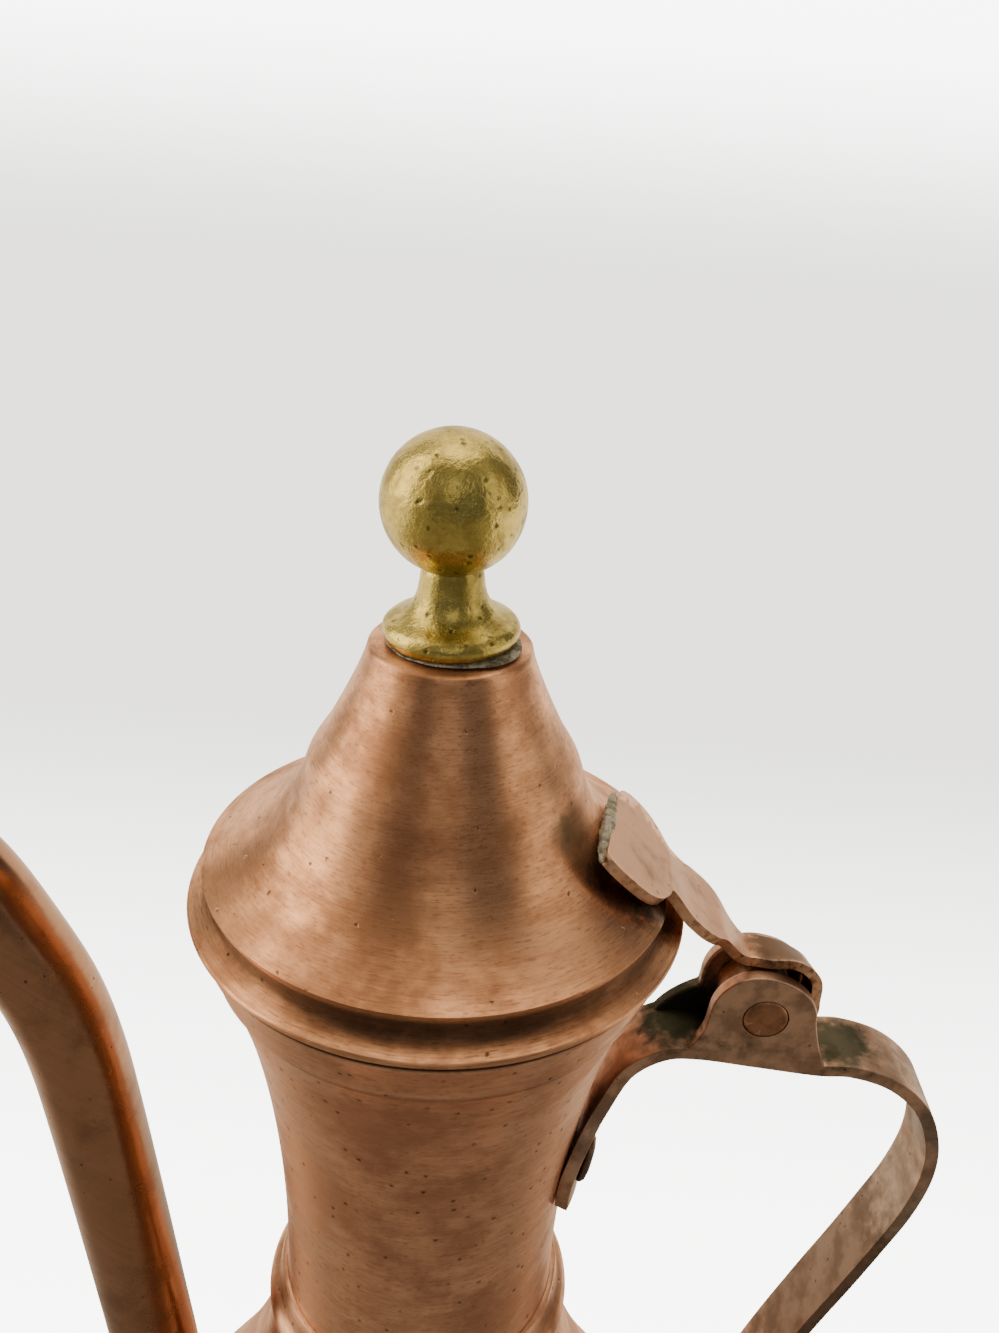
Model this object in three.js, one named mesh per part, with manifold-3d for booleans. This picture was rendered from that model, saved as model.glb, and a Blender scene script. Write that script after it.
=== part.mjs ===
import * as THREE from "three";
import { mergeVertices } from "three/addons/utils/BufferGeometryUtils.js";
import Module from "manifold-3d";

// A copper ewer with a hinged lid, a brass finial, a long spout and a riveted strap handle.
// Millimetres. The table is at Z = 0 and the vessel's axis is Z.
// The spout points towards -X, the handle and the hinge towards +X, and the hinge pin lies along Y.

// Sheet, clearances and facets
const sheet = 1.2;
const seam = 0.3;
const turnedSides = 36;
const smallSides = 20;

// Foot
const baseRadius = 46;
const footWidth = 4.2;
const footHeight = 6.6;

// Body, in two raised halves that meet at the widest part
const bellyRadius = 70;
const bowlHeight = 42;
const bodyHeight = 101;
const bowlDrop = 19.9;
const bowlSweep = { out: 18.8, up: 7.5 };
const baseFlange = 7;
const shoulderRadius = 26.5;
const shoulderSlope = { out: 10.5, down: 46.6 };
const bellyRise = 19.3;

// Neck and its mouth band
const neckHeight = 85.2;
const neckLap = 4;
const waistRadius = 24.6;
const waistHeight = 15;
const waistRise = 21.7;
const flareRadius = 34.6;
const flareLean = { in: 7.4, down: 15.9 };
const bandHeight = 8.6;
const bandStep = 0.4;
const mouthRadius = 37.6;

// Collar bead round the joint of neck and body
const collarRadius = 28.1;
const collarBead = 3.2;
const collarHeight = 10.2;
const collarStep = { out: 0.9, up: 0.8, tip: 0.3 };

// Lid
const lipRadius = 38.6;
const lipBead = 0.9;
const grooveRadius = 35;
const grooveHeight = 2.6;
const bellRadius = 36.2;
const bellHeight = 6.3;
const shoulderBreak = { radius: 18, height: 27.9 };
const coneLean = { top: 0.5, foot: 1.7 };
const flareBend = { out: 4.8, in: 13.4 };
const lidTopRadius = 11.8;
const lidTopHeight = 42.4;
const crownHeight = 0.5;
const tangHole = 2.8;
const sleeveDepth = 5;
const sleeveTop = 1.2;
const sleeveTaper = 0.8;

// Finial
const ballRadius = 10.05;
const ballHeight = 63.5;
const finialNeck = 4.7;
const finialNeckHeight = 51.6;
const finialFoot = 10.05;
const finialFootHeight = 3.2;
const finialLean = THREE.MathUtils.degToRad(1.6);
const tangRadius = 2.2;
const tangHead = 3.4;
const finialBed = 0.45;
const washerRadius = 6;
const washerThickness = 0.8;

// Hinge
const hingeReach = 15.2;
const hingeDrop = 18;
const pinRadius = 3.2;
const pinHead = 3.55;
const pinClearance = 0.3;
const slotWidth = 7.2;
const slotClearance = 0.3;
const earDome = { apex: -1.6, front: 7.4, back: 9.9, height: 8.15 };
const earHeel = { reach: 13, bend: [-9.8, -6] };
const farEarHeel = { reach: 16.2, bend: [-14.2, -4.6] };
const bedFloor = 1.05;
const knuckleReach = 9.25;

// Lid strap: a soldered pad, a neck with shoulders and a rolled knuckle
const strapPlate = 1.7;
const padSlope = THREE.MathUtils.degToRad(42);
const seatDepth = 2.2;
const seatLength = 14;
const padBed = 0.3;
const solderSpan = { front: -10.5, back: 7, bead: 1.4, under: 6, depth: 6 };

// Handle
const handleWidth = 11.9;
const handleThickness = 2.3;
const tabRivetDrop = 50.5;
const tabLength = 7.2;
const tabTurn = THREE.MathUtils.degToRad(-13);
const handleFootHeight = 81;
const handleFootLength = 15;
const footBend = 0.5;
const footLead = { out: 2.2, up: 8.5 };
const handleSteps = 52;

// Rivets
const rivetRadius = 1.6;
const neckRivetHead = { radius: 3.9, height: 1.5 };
const footRivetHead = { radius: 3.4, height: 1.3 };
const rivetTail = 2.8;
const rivetTailHeight = 0.9;
const rivetClearance = 0.3;
const footRivets = [4.5, 11.5];

// Spout
const spoutRadius = 8;
const spoutRootRadius = 9.4;
const spoutMouthRadius = 8.3;
const spoutWall = 1.2;
const spoutSides = 14;
const spoutSteps = 22;
const spoutFromShoulder = [
  [44, 58],
  [49, 46],
  [51.4, 33],
  [52.4, 19],
];
const spoutFromLip = [
  [54.3, -95],
  [56.4, -75],
  [58.6, -55],
  [60.6, -40],
  [63.5, -28],
  [68, -17.5],
  [74.6, -5.2],
  [82.2, 3.4],
  [90.4, 10.6],
];

// Levels and centres that follow from the sizes above
const shoulderLevel = bowlHeight + bodyHeight;
const bandLevel = shoulderLevel + neckHeight;
const rimLevel = bandLevel + bandHeight;
const lipLevel = rimLevel + seam + lipBead;
const pinX = lipRadius + hingeReach;
const pinZ = lipLevel - hingeDrop;
const bedDepth = knuckleReach + seam;
const strapBelowPin = bedDepth + bedFloor - handleThickness / 2;
const earInner = slotWidth / 2;
const earOuter = handleWidth / 2;
const knuckleHalfWidth = earInner - slotClearance;
const lidCrown = lidTopHeight + crownHeight;

const wasm = await Module();
wasm.setup();

const at = (x, y) => new THREE.Vector2(x, y);

// Merges the corners, drops flat triangles and turns the faces outwards.
function closed(geometry) {
  geometry.deleteAttribute("normal");
  geometry.deleteAttribute("uv");
  const merged = mergeVertices(geometry, 1e-4);
  const corners = merged.index.array;
  const position = merged.getAttribute("position");
  const [a, b, c] = [0, 1, 2].map(() => new THREE.Vector3());
  const kept = [];
  let volume = 0;
  for (let i = 0; i < corners.length; i += 3) {
    const [p, q, r] = [corners[i], corners[i + 1], corners[i + 2]];
    if (p === q || q === r || r === p) continue;
    a.fromBufferAttribute(position, p);
    b.fromBufferAttribute(position, q);
    c.fromBufferAttribute(position, r);
    volume += a.dot(b.cross(c));
    kept.push(p, q, r);
  }
  merged.setIndex(volume < 0 ? kept.reverse() : kept);
  return merged;
}

function toSolid(geometry) {
  return new wasm.Manifold(
    new wasm.Mesh({
      numProp: 3,
      vertProperties: new Float32Array(geometry.getAttribute("position").array),
      triVerts: new Uint32Array(geometry.index.array),
    }),
  );
}

function toGeometry(solid) {
  const mesh = solid.getMesh();
  const geometry = new THREE.BufferGeometry();
  geometry.setAttribute("position", new THREE.BufferAttribute(mesh.vertProperties, 3));
  geometry.setIndex(new THREE.BufferAttribute(mesh.triVerts, 1));
  return geometry;
}

function cut(geometry, ...tools) {
  return toGeometry(tools.reduce((solid, tool) => solid.subtract(toSolid(tool)), toSolid(geometry)));
}

function join(geometry, ...others) {
  return toGeometry(others.reduce((solid, other) => solid.add(toSolid(other)), toSolid(geometry)));
}

// Turns a profile of (radius, height) points round Z.
function turned(profile, sides = turnedSides) {
  const onAxis = profile[0].x === 0;
  const outline = onAxis ? profile : [...profile, profile[0]];
  return closed(new THREE.LatheGeometry(outline, sides).rotateX(Math.PI / 2));
}

// A profile moved sideways by a distance, to the left of its direction.
function offset(profile, distance) {
  return profile.map((point, i) => {
    const before = profile[Math.max(i - 1, 0)];
    const after = profile[Math.min(i + 1, profile.length - 1)];
    const along = after.clone().sub(before).normalize();
    return at(point.x - along.y * distance, point.y + along.x * distance);
  });
}

function bend(start, startHandle, endHandle, end, steps) {
  return new THREE.CubicBezierCurve(start, startHandle, endHandle, end).getPoints(steps);
}

function arc(centre, radiusX, radiusY, from, to, steps) {
  return Array.from({ length: steps + 1 }, (_, i) => {
    const angle = THREE.MathUtils.degToRad(from + ((to - from) * i) / steps);
    return at(centre.x + radiusX * Math.cos(angle), centre.y + radiusY * Math.sin(angle));
  });
}

// The radius and outward normal of a falling profile at a height.
function surfaceAt(profile, height) {
  const i = profile.findIndex((point, n) => n > 0 && point.y <= height);
  const [above, below] = [profile[i - 1], profile[i]];
  const share = (above.y - height) / (above.y - below.y);
  const along = below.clone().sub(above).normalize();
  return { radius: above.x + (below.x - above.x) * share, normal: at(-along.y, along.x) };
}

// Skins a list of rings that have the same number of corners. A loop joins its last ring to its first,
// and an open loft is capped in strips between the ring's one side and the facing one.
function loft(rings, isLoop = false) {
  const sides = rings[0].length;
  const index = [];
  const links = isLoop ? rings.length : rings.length - 1;
  for (let i = 0; i < links; i += 1) {
    const [here, next] = [i * sides, ((i + 1) % rings.length) * sides];
    for (let j = 0; j < sides; j += 1) {
      const k = (j + 1) % sides;
      index.push(here + j, here + k, next + k, here + j, next + k, next + j);
    }
  }
  const last = (rings.length - 1) * sides;
  for (let j = 0; !isLoop && j < sides / 2 - 1; j += 1) {
    const [k, far, facing] = [j + 1, sides - 2 - j, sides - 1 - j];
    index.push(j, far, k, j, facing, far);
    index.push(last + j, last + k, last + far, last + j, last + far, last + facing);
  }
  const geometry = new THREE.BufferGeometry().setFromPoints(rings.flat());
  geometry.setIndex(index);
  return closed(geometry);
}

// A plate cut to a shape in the XZ plane, between two places along Y.
function plateXZ(shape, fromY, toY) {
  const geometry = new THREE.ExtrudeGeometry(shape, { depth: toY - fromY, bevelEnabled: false, curveSegments: 10 });
  return closed(geometry.rotateX(Math.PI / 2).translate(0, toY, 0));
}

function material(color, roughness, metalness) {
  return new THREE.MeshStandardMaterial({ color, roughness, metalness });
}

const copper = () => material(0xb5795c, 0.36, 1);
const darkCopper = () => material(0x7d5140, 0.5, 1);
const brass = () => material(0xb5a04c, 0.34, 1);
const solder = () => material(0x77786a, 0.7, 0.6);

const ewer = new THREE.Group();

function piece(name, geometry, finish) {
  geometry.computeVertexNormals();
  const mesh = new THREE.Mesh(geometry, finish);
  mesh.name = name;
  ewer.add(mesh);
  return mesh;
}

// Profiles, from the top down

const bodyOuter = bend(
  at(shoulderRadius, shoulderLevel),
  at(shoulderRadius + shoulderSlope.out, shoulderLevel - shoulderSlope.down),
  at(bellyRadius, bowlHeight + bellyRise),
  at(bellyRadius, bowlHeight + seam / 2),
  10,
);

const bowlOuter = [
  ...bend(
    at(bellyRadius, bowlHeight - seam / 2),
    at(bellyRadius, bowlHeight - bowlDrop),
    at(baseRadius + bowlSweep.out, baseFlange + bowlSweep.up),
    at(baseRadius, baseFlange),
    7,
  ),
  at(baseRadius, sheet + seam),
];

const neckFoot = shoulderRadius - sheet - seam;

const neckOuter = [
  ...bend(
    at(flareRadius, bandLevel),
    at(flareRadius - flareLean.in, bandLevel - flareLean.down),
    at(waistRadius - bandStep, shoulderLevel + waistHeight + waistRise),
    at(waistRadius, shoulderLevel + waistHeight),
    6,
  ),
  at(neckFoot, shoulderLevel - neckLap),
];

const lidCone = bend(
  at(lidTopRadius, lidTopHeight),
  at(lidTopRadius + coneLean.top, lidTopHeight - 3),
  at(shoulderBreak.radius - coneLean.foot, shoulderBreak.height + 3.2),
  at(shoulderBreak.radius, shoulderBreak.height),
  4,
);

const lidFlare = bend(
  at(shoulderBreak.radius, shoulderBreak.height),
  at(shoulderBreak.radius + flareBend.out, shoulderBreak.height - 8.9),
  at(bellRadius - flareBend.in, bellHeight + 5.8),
  at(bellRadius, bellHeight),
  7,
);

const lidOuter = [...lidCone, ...lidFlare.slice(1)];

// Foot and body

piece("base_plate", turned([at(0, 0), at(baseRadius, 0), at(baseRadius, sheet), at(0, sheet)]), copper());

const ringInner = baseRadius + seam;
const footProfile = arc(at(ringInner, footHeight / 2), footWidth, footHeight / 2, -90, 90, 6);
piece("foot_ring", turned(footProfile), copper());

piece("lower_bowl", turned([...bowlOuter, ...offset(bowlOuter, -sheet).reverse()]), copper());

// Spout

const spoutKnots = [
  ...spoutFromShoulder.map(([out, drop]) => at(-out, shoulderLevel - drop)),
  ...spoutFromLip.map(([out, rise]) => at(-out, lipLevel + rise)),
];
const spoutLine = new THREE.SplineCurve(spoutKnots);

function spoutOuterRadius(share) {
  const root = THREE.MathUtils.smoothstep(share, 0, 0.3);
  const mouth = THREE.MathUtils.smoothstep(share, 0.9, 1);
  return THREE.MathUtils.lerp(spoutRootRadius, spoutRadius, root) + (spoutMouthRadius - spoutRadius) * mouth;
}

function spoutRings(inset) {
  return Array.from({ length: spoutSteps + 1 }, (_, i) => {
    const share = i / spoutSteps;
    const centre = spoutLine.getPoint(share);
    const along = spoutLine.getTangent(share);
    const radius = spoutOuterRadius(share) - inset;
    return Array.from({ length: spoutSides }, (__, j) => {
      const angle = (2 * Math.PI * j) / spoutSides;
      const across = radius * Math.cos(angle);
      return new THREE.Vector3(centre.x - along.y * across, radius * Math.sin(angle), centre.y + along.x * across);
    });
  });
}

const bodySkin = offset([...bodyOuter, ...bowlOuter], seam);
const bodyFilled = turned([at(0, shoulderLevel + seam), ...bodySkin, at(0, sheet)]);
const spoutPipe = loft([...spoutRings(0), ...spoutRings(spoutWall).reverse()], true);
piece("spout_tube", cut(spoutPipe, bodyFilled), copper());
const spoutBore = loft(spoutRings(spoutWall));

// Handle strap, hinge ears and rivets

const neckTab = [tabRivetDrop + tabLength, tabRivetDrop, tabRivetDrop - tabLength].map((drop) => {
  const height = lipLevel - drop;
  return at(surfaceAt(neckOuter, height).radius + seam + handleThickness / 2, height);
});

const bowFromPin = [
  [-23.9, -11.5],
  [-20.6, -4],
  [-15.5, 0.15],
  [-9.8, 1],
  [0.2, 0.05],
  [10.2, -0.95],
  [16.5, -0.95],
  [23.7, -3.4],
  [29.6, -8.8],
  [32.9, -16.5],
  [33.6, -24.5],
  [32, -33.5],
  [29, -42.5],
  [25.2, -53],
  [20.4, -65.5],
  [13.7, -84.5],
].map(([x, z]) => at(pinX + x, pinZ - strapBelowPin + z));

// A point of the handle's foot, a distance below its top, with the wall's outward normal.
function handleFootAt(distance, lift) {
  const height = handleFootHeight - distance * surfaceAt(bodyOuter, handleFootHeight).normal.x;
  const { radius, normal } = surfaceAt(bodyOuter, height);
  return { point: at(radius + normal.x * lift, height + normal.y * lift), normal };
}

const footLift = seam + handleThickness / 2;
const handleFoot = [
  handleFootAt(0, footLift + footBend).point,
  handleFootAt(handleFootLength / 3, footLift).point,
  handleFootAt((2 * handleFootLength) / 3, footLift).point,
  handleFootAt(handleFootLength, footLift).point,
];
const handleLead = handleFoot[0].clone().add(at(footLead.out, footLead.up));
const handleLine = new THREE.SplineCurve([...neckTab, ...bowFromPin, handleLead, ...handleFoot]);

// The strap is flat over most of its length, and near the neck it bends and turns with the neck's wall.
function handleSection(share) {
  const centre = handleLine.getPoint(share);
  const along = handleLine.getTangent(share);
  const wrap = 1 - THREE.MathUtils.smoothstep(share, 0.08, 0.2);
  const corner = (y, out) => {
    const reach = centre.x - along.y * out;
    const angle = tabTurn + y / reach;
    const flat = new THREE.Vector3(reach, y, centre.y + along.x * out);
    const wrapped = new THREE.Vector3(reach * Math.cos(angle), reach * Math.sin(angle), flat.z);
    return flat.lerp(wrapped, wrap);
  };
  const across = [-1, -0.5, 0, 0.5, 1].map((part) => part * earOuter);
  const half = handleThickness / 2;
  return [...across.map((y) => corner(y, half)), ...across.reverse().map((y) => corner(y, -half))];
}

const strapBar = loft(Array.from({ length: handleSteps + 1 }, (_, i) => handleSection(i / handleSteps)));

// Outline of an ear, folded up from the strap's edge, as seen from the front. Its heel runs out to the strap.
function earShape({ reach, bend }) {
  const shape = new THREE.Shape();
  const strapZ = pinZ - strapBelowPin;
  const domeX = pinX + earDome.apex;
  shape.moveTo(pinX - reach, strapZ + 0.9);
  shape.quadraticCurveTo(pinX + bend[0], pinZ + bend[1], domeX - earDome.front - 0.2, pinZ - 2);
  shape.lineTo(domeX - earDome.front, pinZ);
  shape.absellipse(domeX, pinZ, earDome.front, earDome.height, Math.PI, Math.PI / 2, true);
  shape.absellipse(domeX, pinZ, earDome.back, earDome.height, Math.PI / 2, 0, true);
  shape.quadraticCurveTo(pinX + 9.2, pinZ - 4.9, pinX + 11.3, strapZ + 0.1);
  shape.lineTo(pinX + 11.3, strapZ - 1.6);
  shape.lineTo(pinX, strapZ - 0.7);
  shape.lineTo(pinX - 9.8, strapZ + 0.3);
  return shape;
}

// The thinned bed of the strap between the ears, which the knuckle turns over.
function bedCutter() {
  const shape = new THREE.Shape([
    at(pinX - 10.6, pinZ - bedDepth / 2),
    at(pinX - 7.2, pinZ - bedDepth),
    at(pinX + 8.6, pinZ - bedDepth),
    at(pinX + 12.4, pinZ - bedDepth / 2),
  ]);
  return plateXZ(shape, -earInner, earInner);
}

// Profile along Y of the pin, or of the hole that leaves the clearance round it.
function pinProfile(grow, domed) {
  const taper = 0.8;
  const end = earOuter + (domed ? 0 : grow);
  const tip = domed ? 0.35 : 0;
  const half = [
    at(pinRadius + grow, 0),
    at(pinRadius + grow, earOuter - taper),
    at(pinHead + grow, end),
    at(domed ? pinHead * 0.7 : 0, end + tip),
    at(0, end + tip * 1.25),
  ];
  const mirrored = half.slice(1).map((p) => at(p.x, -p.y));
  return [...mirrored.reverse(), ...half.slice(1)];
}

function alongPin(profile) {
  return closed(new THREE.LatheGeometry(profile, smallSides).translate(pinX, 0, pinZ));
}

// A rivet stands on the strap's outer face, its shank going in through the plates.
const rivetGrip = handleThickness + seam + sheet + seam * 1.5;

function rivetGeometry({ radius, height }) {
  const head = arc(at(0, seam), radius, height, 90, 0, 4);
  head[0].x = 0;
  return turned(
    [
      ...head,
      at(rivetRadius, seam),
      at(rivetRadius, -rivetGrip),
      at(rivetTail, -rivetGrip),
      at(rivetTail * 0.8, -rivetGrip - rivetTailHeight),
      at(0, -rivetGrip - rivetTailHeight),
    ],
    16,
  );
}

function outwardTurn({ normal, turn = 0 }) {
  const axis = new THREE.Vector3(normal.x, 0, normal.y).applyAxisAngle(new THREE.Vector3(0, 0, 1), turn);
  return new THREE.Quaternion().setFromUnitVectors(new THREE.Vector3(0, 0, 1), axis);
}

function centreOf({ point, turn = 0 }) {
  return new THREE.Vector3(point.x * Math.cos(turn), point.x * Math.sin(turn), point.y);
}

function rivetHoleAt(place) {
  const hole = new THREE.CylinderGeometry(rivetRadius + rivetClearance, rivetRadius + rivetClearance, 12, 16);
  hole.rotateX(Math.PI / 2);
  hole.applyQuaternion(outwardTurn(place));
  return closed(hole.translate(...centreOf(place)));
}

function rivetAt(name, place, head) {
  const mesh = piece(name, rivetGeometry(head), copper());
  mesh.position.copy(centreOf(place));
  mesh.quaternion.copy(outwardTurn(place));
}

function neckRivetPlace() {
  const height = lipLevel - tabRivetDrop;
  const { radius, normal } = surfaceAt(neckOuter, height);
  const lift = seam + handleThickness;
  return { point: at(radius + normal.x * lift, height + normal.y * lift), normal, turn: tabTurn };
}

const neckRivet = neckRivetPlace();
const footRivetPlaces = footRivets.map((distance) => handleFootAt(distance, seam + handleThickness));
const ears = [
  plateXZ(earShape(earHeel), -earOuter, -earInner),
  plateXZ(earShape(farEarHeel), earInner, earOuter),
];
const handleHoles = [neckRivet, ...footRivetPlaces].map(rivetHoleAt);
const pinHole = alongPin(pinProfile(pinClearance, false));

piece("handle_strap", cut(join(strapBar, ...ears), bedCutter(), pinHole, ...handleHoles), copper());
piece("hinge_pin", alongPin(pinProfile(0, true)), darkCopper());
rivetAt("neck_rivet", neckRivet, neckRivetHead);
rivetAt("handle_rivet_upper", footRivetPlaces[0], footRivetHead);
rivetAt("handle_rivet_lower", footRivetPlaces[1], footRivetHead);

// Upper body, with the openings for the spout and the handle's rivets

const bodyShell = turned([...bodyOuter, ...offset(bodyOuter, -sheet).reverse()]);
piece("upper_body", cut(bodyShell, spoutBore, ...footRivetPlaces.map(rivetHoleAt)), copper());

// Neck, with its mouth band in one piece

const bandOuter = [
  at(mouthRadius - 0.5, rimLevel),
  at(mouthRadius, rimLevel - 0.4),
  at(mouthRadius - 0.5, rimLevel - 1.9),
  at(flareRadius + bandStep * 2, bandLevel + 2.2),
  at(flareRadius + bandStep, bandLevel + 0.2),
];
const neckInner = offset(neckOuter, -sheet).reverse();
const bandInner = [at(flareRadius - sheet, bandLevel + 1.6), at(mouthRadius - sheet - 0.3, rimLevel)];
const neckShell = turned([...bandOuter, ...neckOuter, ...neckInner, ...bandInner]);
piece("neck_tube", cut(neckShell, rivetHoleAt(neckRivet)), copper());

const collarInner = neckFoot + seam;
const collarCentre = at(collarInner, shoulderLevel + seam + collarBead);
const collarProfile = [
  ...arc(collarCentre, collarRadius - collarInner, collarBead, -90, 45, 5),
  at(collarInner + collarStep.out, collarCentre.y + collarBead + collarStep.up),
  at(collarInner + collarStep.tip, shoulderLevel + collarHeight),
  at(collarInner, shoulderLevel + collarHeight),
];
piece("neck_collar", turned(collarProfile), copper());

// Lid, from here on in heights above the lip

const bellEdge = new THREE.Vector3(bellRadius, 0, bellHeight);
const padDown = new THREE.Vector3(Math.cos(padSlope), 0, -Math.sin(padSlope));
const padOut = new THREE.Vector3(Math.sin(padSlope), 0, Math.cos(padSlope));

// Presses a flat seat for the strap's pad into the bell, as deep as the sheet allows.
function pressSeat(geometry, lift) {
  const position = geometry.getAttribute("position");
  const point = new THREE.Vector3();
  for (let i = 0; i < position.count; i += 1) {
    point.fromBufferAttribute(position, i).sub(bellEdge);
    const above = Math.max(0, -seatLength - point.dot(padDown)) * 0.8;
    const excess = point.dot(padOut) - (above - seatDepth + lift);
    if (excess > 0) point.addScaledVector(padOut, -excess);
    point.add(bellEdge);
    position.setXYZ(i, point.x, point.y, point.z);
  }
  return geometry;
}

const brimOuter = [
  at(grooveRadius + 0.4, grooveHeight + 2),
  at(grooveRadius, grooveHeight + 0.4),
  at(grooveRadius + 0.1, grooveHeight - 0.4),
  at(lipRadius - 1.3, lipBead),
  at(lipRadius - 0.6, lipBead * 0.6),
  ...arc(at(lipRadius - lipBead / 2, 0), lipBead / 2, lipBead * 0.55, 60, -90, 3),
  at(lipRadius - lipBead / 2, -lipBead),
];
const wallInner = grooveRadius - sheet;
const lidInner = offset(lidOuter, -sheet).filter((p) => p.y < lidCrown - sheet - 0.2 && p.x < wallInner - 0.4);
const innerTop = lidInner[0].x;
const innerEdge = at(wallInner, lidInner.at(-1).y - 0.4);
const innerLow = [innerEdge, at(wallInner, sleeveTop + 0.8)];

const lidProfile = [
  at(tangHole, lidCrown),
  at(lidTopRadius - crownHeight * 1.6, lidCrown),
  ...lidOuter,
  ...brimOuter,
  at(wallInner, -lipBead),
  ...innerLow.reverse(),
  ...lidInner.reverse(),
  at(innerTop, lidCrown - sheet),
  at(tangHole, lidCrown - sheet),
];

// The outer skin presses to the seat, and the inner one stays a sheet's thickness below it.
function pressedLid() {
  const geometry = turned(lidProfile);
  const position = geometry.getAttribute("position");
  const inner = new Set([...innerLow, ...lidInner].map((p) => `${p.x.toFixed(2)} ${p.y.toFixed(2)}`));
  const outerPart = geometry.clone();
  const innerPart = geometry.clone();
  pressSeat(outerPart, 0);
  pressSeat(innerPart, -sheet);
  for (let i = 0; i < position.count; i += 1) {
    const key = `${Math.hypot(position.getX(i), position.getY(i)).toFixed(2)} ${position.getZ(i).toFixed(2)}`;
    const source = (inner.has(key) ? innerPart : outerPart).getAttribute("position");
    position.setXYZ(i, source.getX(i), source.getY(i), source.getZ(i));
  }
  return geometry;
}

piece("lid_shell", pressedLid().translate(0, 0, lipLevel), copper());

const sleeveRadius = wallInner - seam;
const sleeveProfile = [
  at(sleeveRadius, sleeveTop),
  at(sleeveRadius, -lipBead),
  at(sleeveRadius - sleeveTaper, -sleeveDepth),
  at(sleeveRadius - sleeveTaper - sheet, -sleeveDepth),
  at(sleeveRadius - sheet, -lipBead),
  at(sleeveRadius - sheet, sleeveTop),
];
piece("lid_sleeve", turned(sleeveProfile).translate(0, 0, lipLevel), darkCopper());

// Finial, with its tang peened over a washer inside the lid. Heights above the lid's crown.

const finialSole = seam + finialBed + seam;
const crownLevel = lipLevel + lidCrown;
const ballCentre = ballHeight - lidCrown;
const neckLevel = finialNeckHeight - lidCrown;
const joinAngle = THREE.MathUtils.radToDeg(Math.acos(finialNeck / ballRadius)) + 4;
const ballArc = arc(at(0, ballCentre), ballRadius, ballRadius, 90, -joinAngle, 9);
ballArc[0].x = 0;
const ballFoot = ballArc.at(-1);
const washerTop = -sheet - seam;
const tailTop = washerTop - washerThickness - seam * 1.5;
const finialProfile = [
  ...ballArc,
  at(finialNeck, (neckLevel + ballFoot.y) / 2),
  at(finialNeck + 0.1, neckLevel - 0.8),
  at(finialNeck + 1.4, finialSole + finialFootHeight + 0.9),
  at(finialFoot - 2.2, finialSole + finialFootHeight),
  at(finialFoot - 0.5, finialSole + finialFootHeight * 0.7),
  at(finialFoot, finialSole + finialFootHeight * 0.4),
  at(finialFoot - 0.5, finialSole),
  at(tangRadius, finialSole),
  at(tangRadius, tailTop),
  at(tangHead, tailTop),
  at(tangHead * 0.7, tailTop - 1),
  at(0, tailTop - 1.2),
];
const finial = piece("finial", turned(finialProfile, 24), brass());
finial.position.set(0, 0, crownLevel);
finial.rotation.y = -finialLean;

const washerProfile = [
  at(tangHole, washerTop),
  at(washerRadius, washerTop),
  at(washerRadius, washerTop - washerThickness),
  at(tangHole, washerTop - washerThickness),
];
const washer = piece("finial_washer", turned(washerProfile, 24), copper());
washer.position.set(0, 0, crownLevel);

// The solder under the finial is a wedge, as thick as the lean leaves it.
function solderWedge() {
  const radius = finialFoot - 0.7;
  const lean = Math.tan(finialLean);
  const disc = turned([at(tangHole, 0), at(radius, 0), at(radius, 1), at(tangHole, 1)], 24);
  const position = disc.getAttribute("position");
  for (let i = 0; i < position.count; i += 1) {
    const top = finialBed + position.getX(i) * lean;
    position.setZ(i, seam + position.getZ(i) * top);
  }
  return disc;
}
piece("finial_solder", solderWedge(), solder()).position.set(0, 0, crownLevel);

// Lid strap

const padUnder = -seatDepth + seam + padBed + seam;
const padTop = padUnder + strapPlate;

// A point of the pad's plane: downhill of the bell's edge, along Y, and out from the plane's foot.
function onPad(downhill, y, out) {
  const point = bellEdge.clone().addScaledVector(padDown, downhill).addScaledVector(padOut, out);
  return point.setY(y).add(new THREE.Vector3(0, 0, lipLevel));
}

// Front and back edge of the shield-shaped pad, each as downhill distance and Y.
const padEdges = [
  [-16.6, -13.2, -11.8, 8],
  [-15.2, -14.5, -10.6, 9.6],
  [-11.2, -14.8, -8.2, 10.4],
  [-7.3, -14.3, -5, 9.8],
  [-4.6, -12.6, -2.6, 7.7],
  [-2.4, -9.6, -1.2, 5.6],
  [-1, -7.5, -0.2, 4.5],
];

// The neck's top line from the pin, with its front and back edges; it spreads into shoulders by the ears.
const neckStations = [
  [-15, 21.5, -8.2, 5.8],
  [-13.4, 19.8, -8.1, 6.8],
  [-11.8, 18.2, -7.7, 7.3],
  [-10, 16.7, -7, 7],
  [-8.3, 15.2, -5.6, 5.6],
  [-6.5, 12.7, -4.2, 4.2],
  [-5, 10.9, -3.5, 3.5],
];

// The outside of the tongue: angle from the top, then radius of its front and of its back edge. It starts loose
// and a little twisted, and ends tight on the pin.
const rollKnots = [
  [-20, 10.9, 10.1],
  [0, 9.85, 9.3],
  [25, 10.75, 8.9],
  [50, 10.75, 9.2],
  [75, 9.35, 9.35],
  [95, 9.1, 9.2],
  [180, 7.9, 7.9],
  [270, 6.5, 6.5],
  [360, 5.65, 5.65],
  [450, 5.35, 5.35],
  [540, 5.3, 5.3],
];

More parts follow.
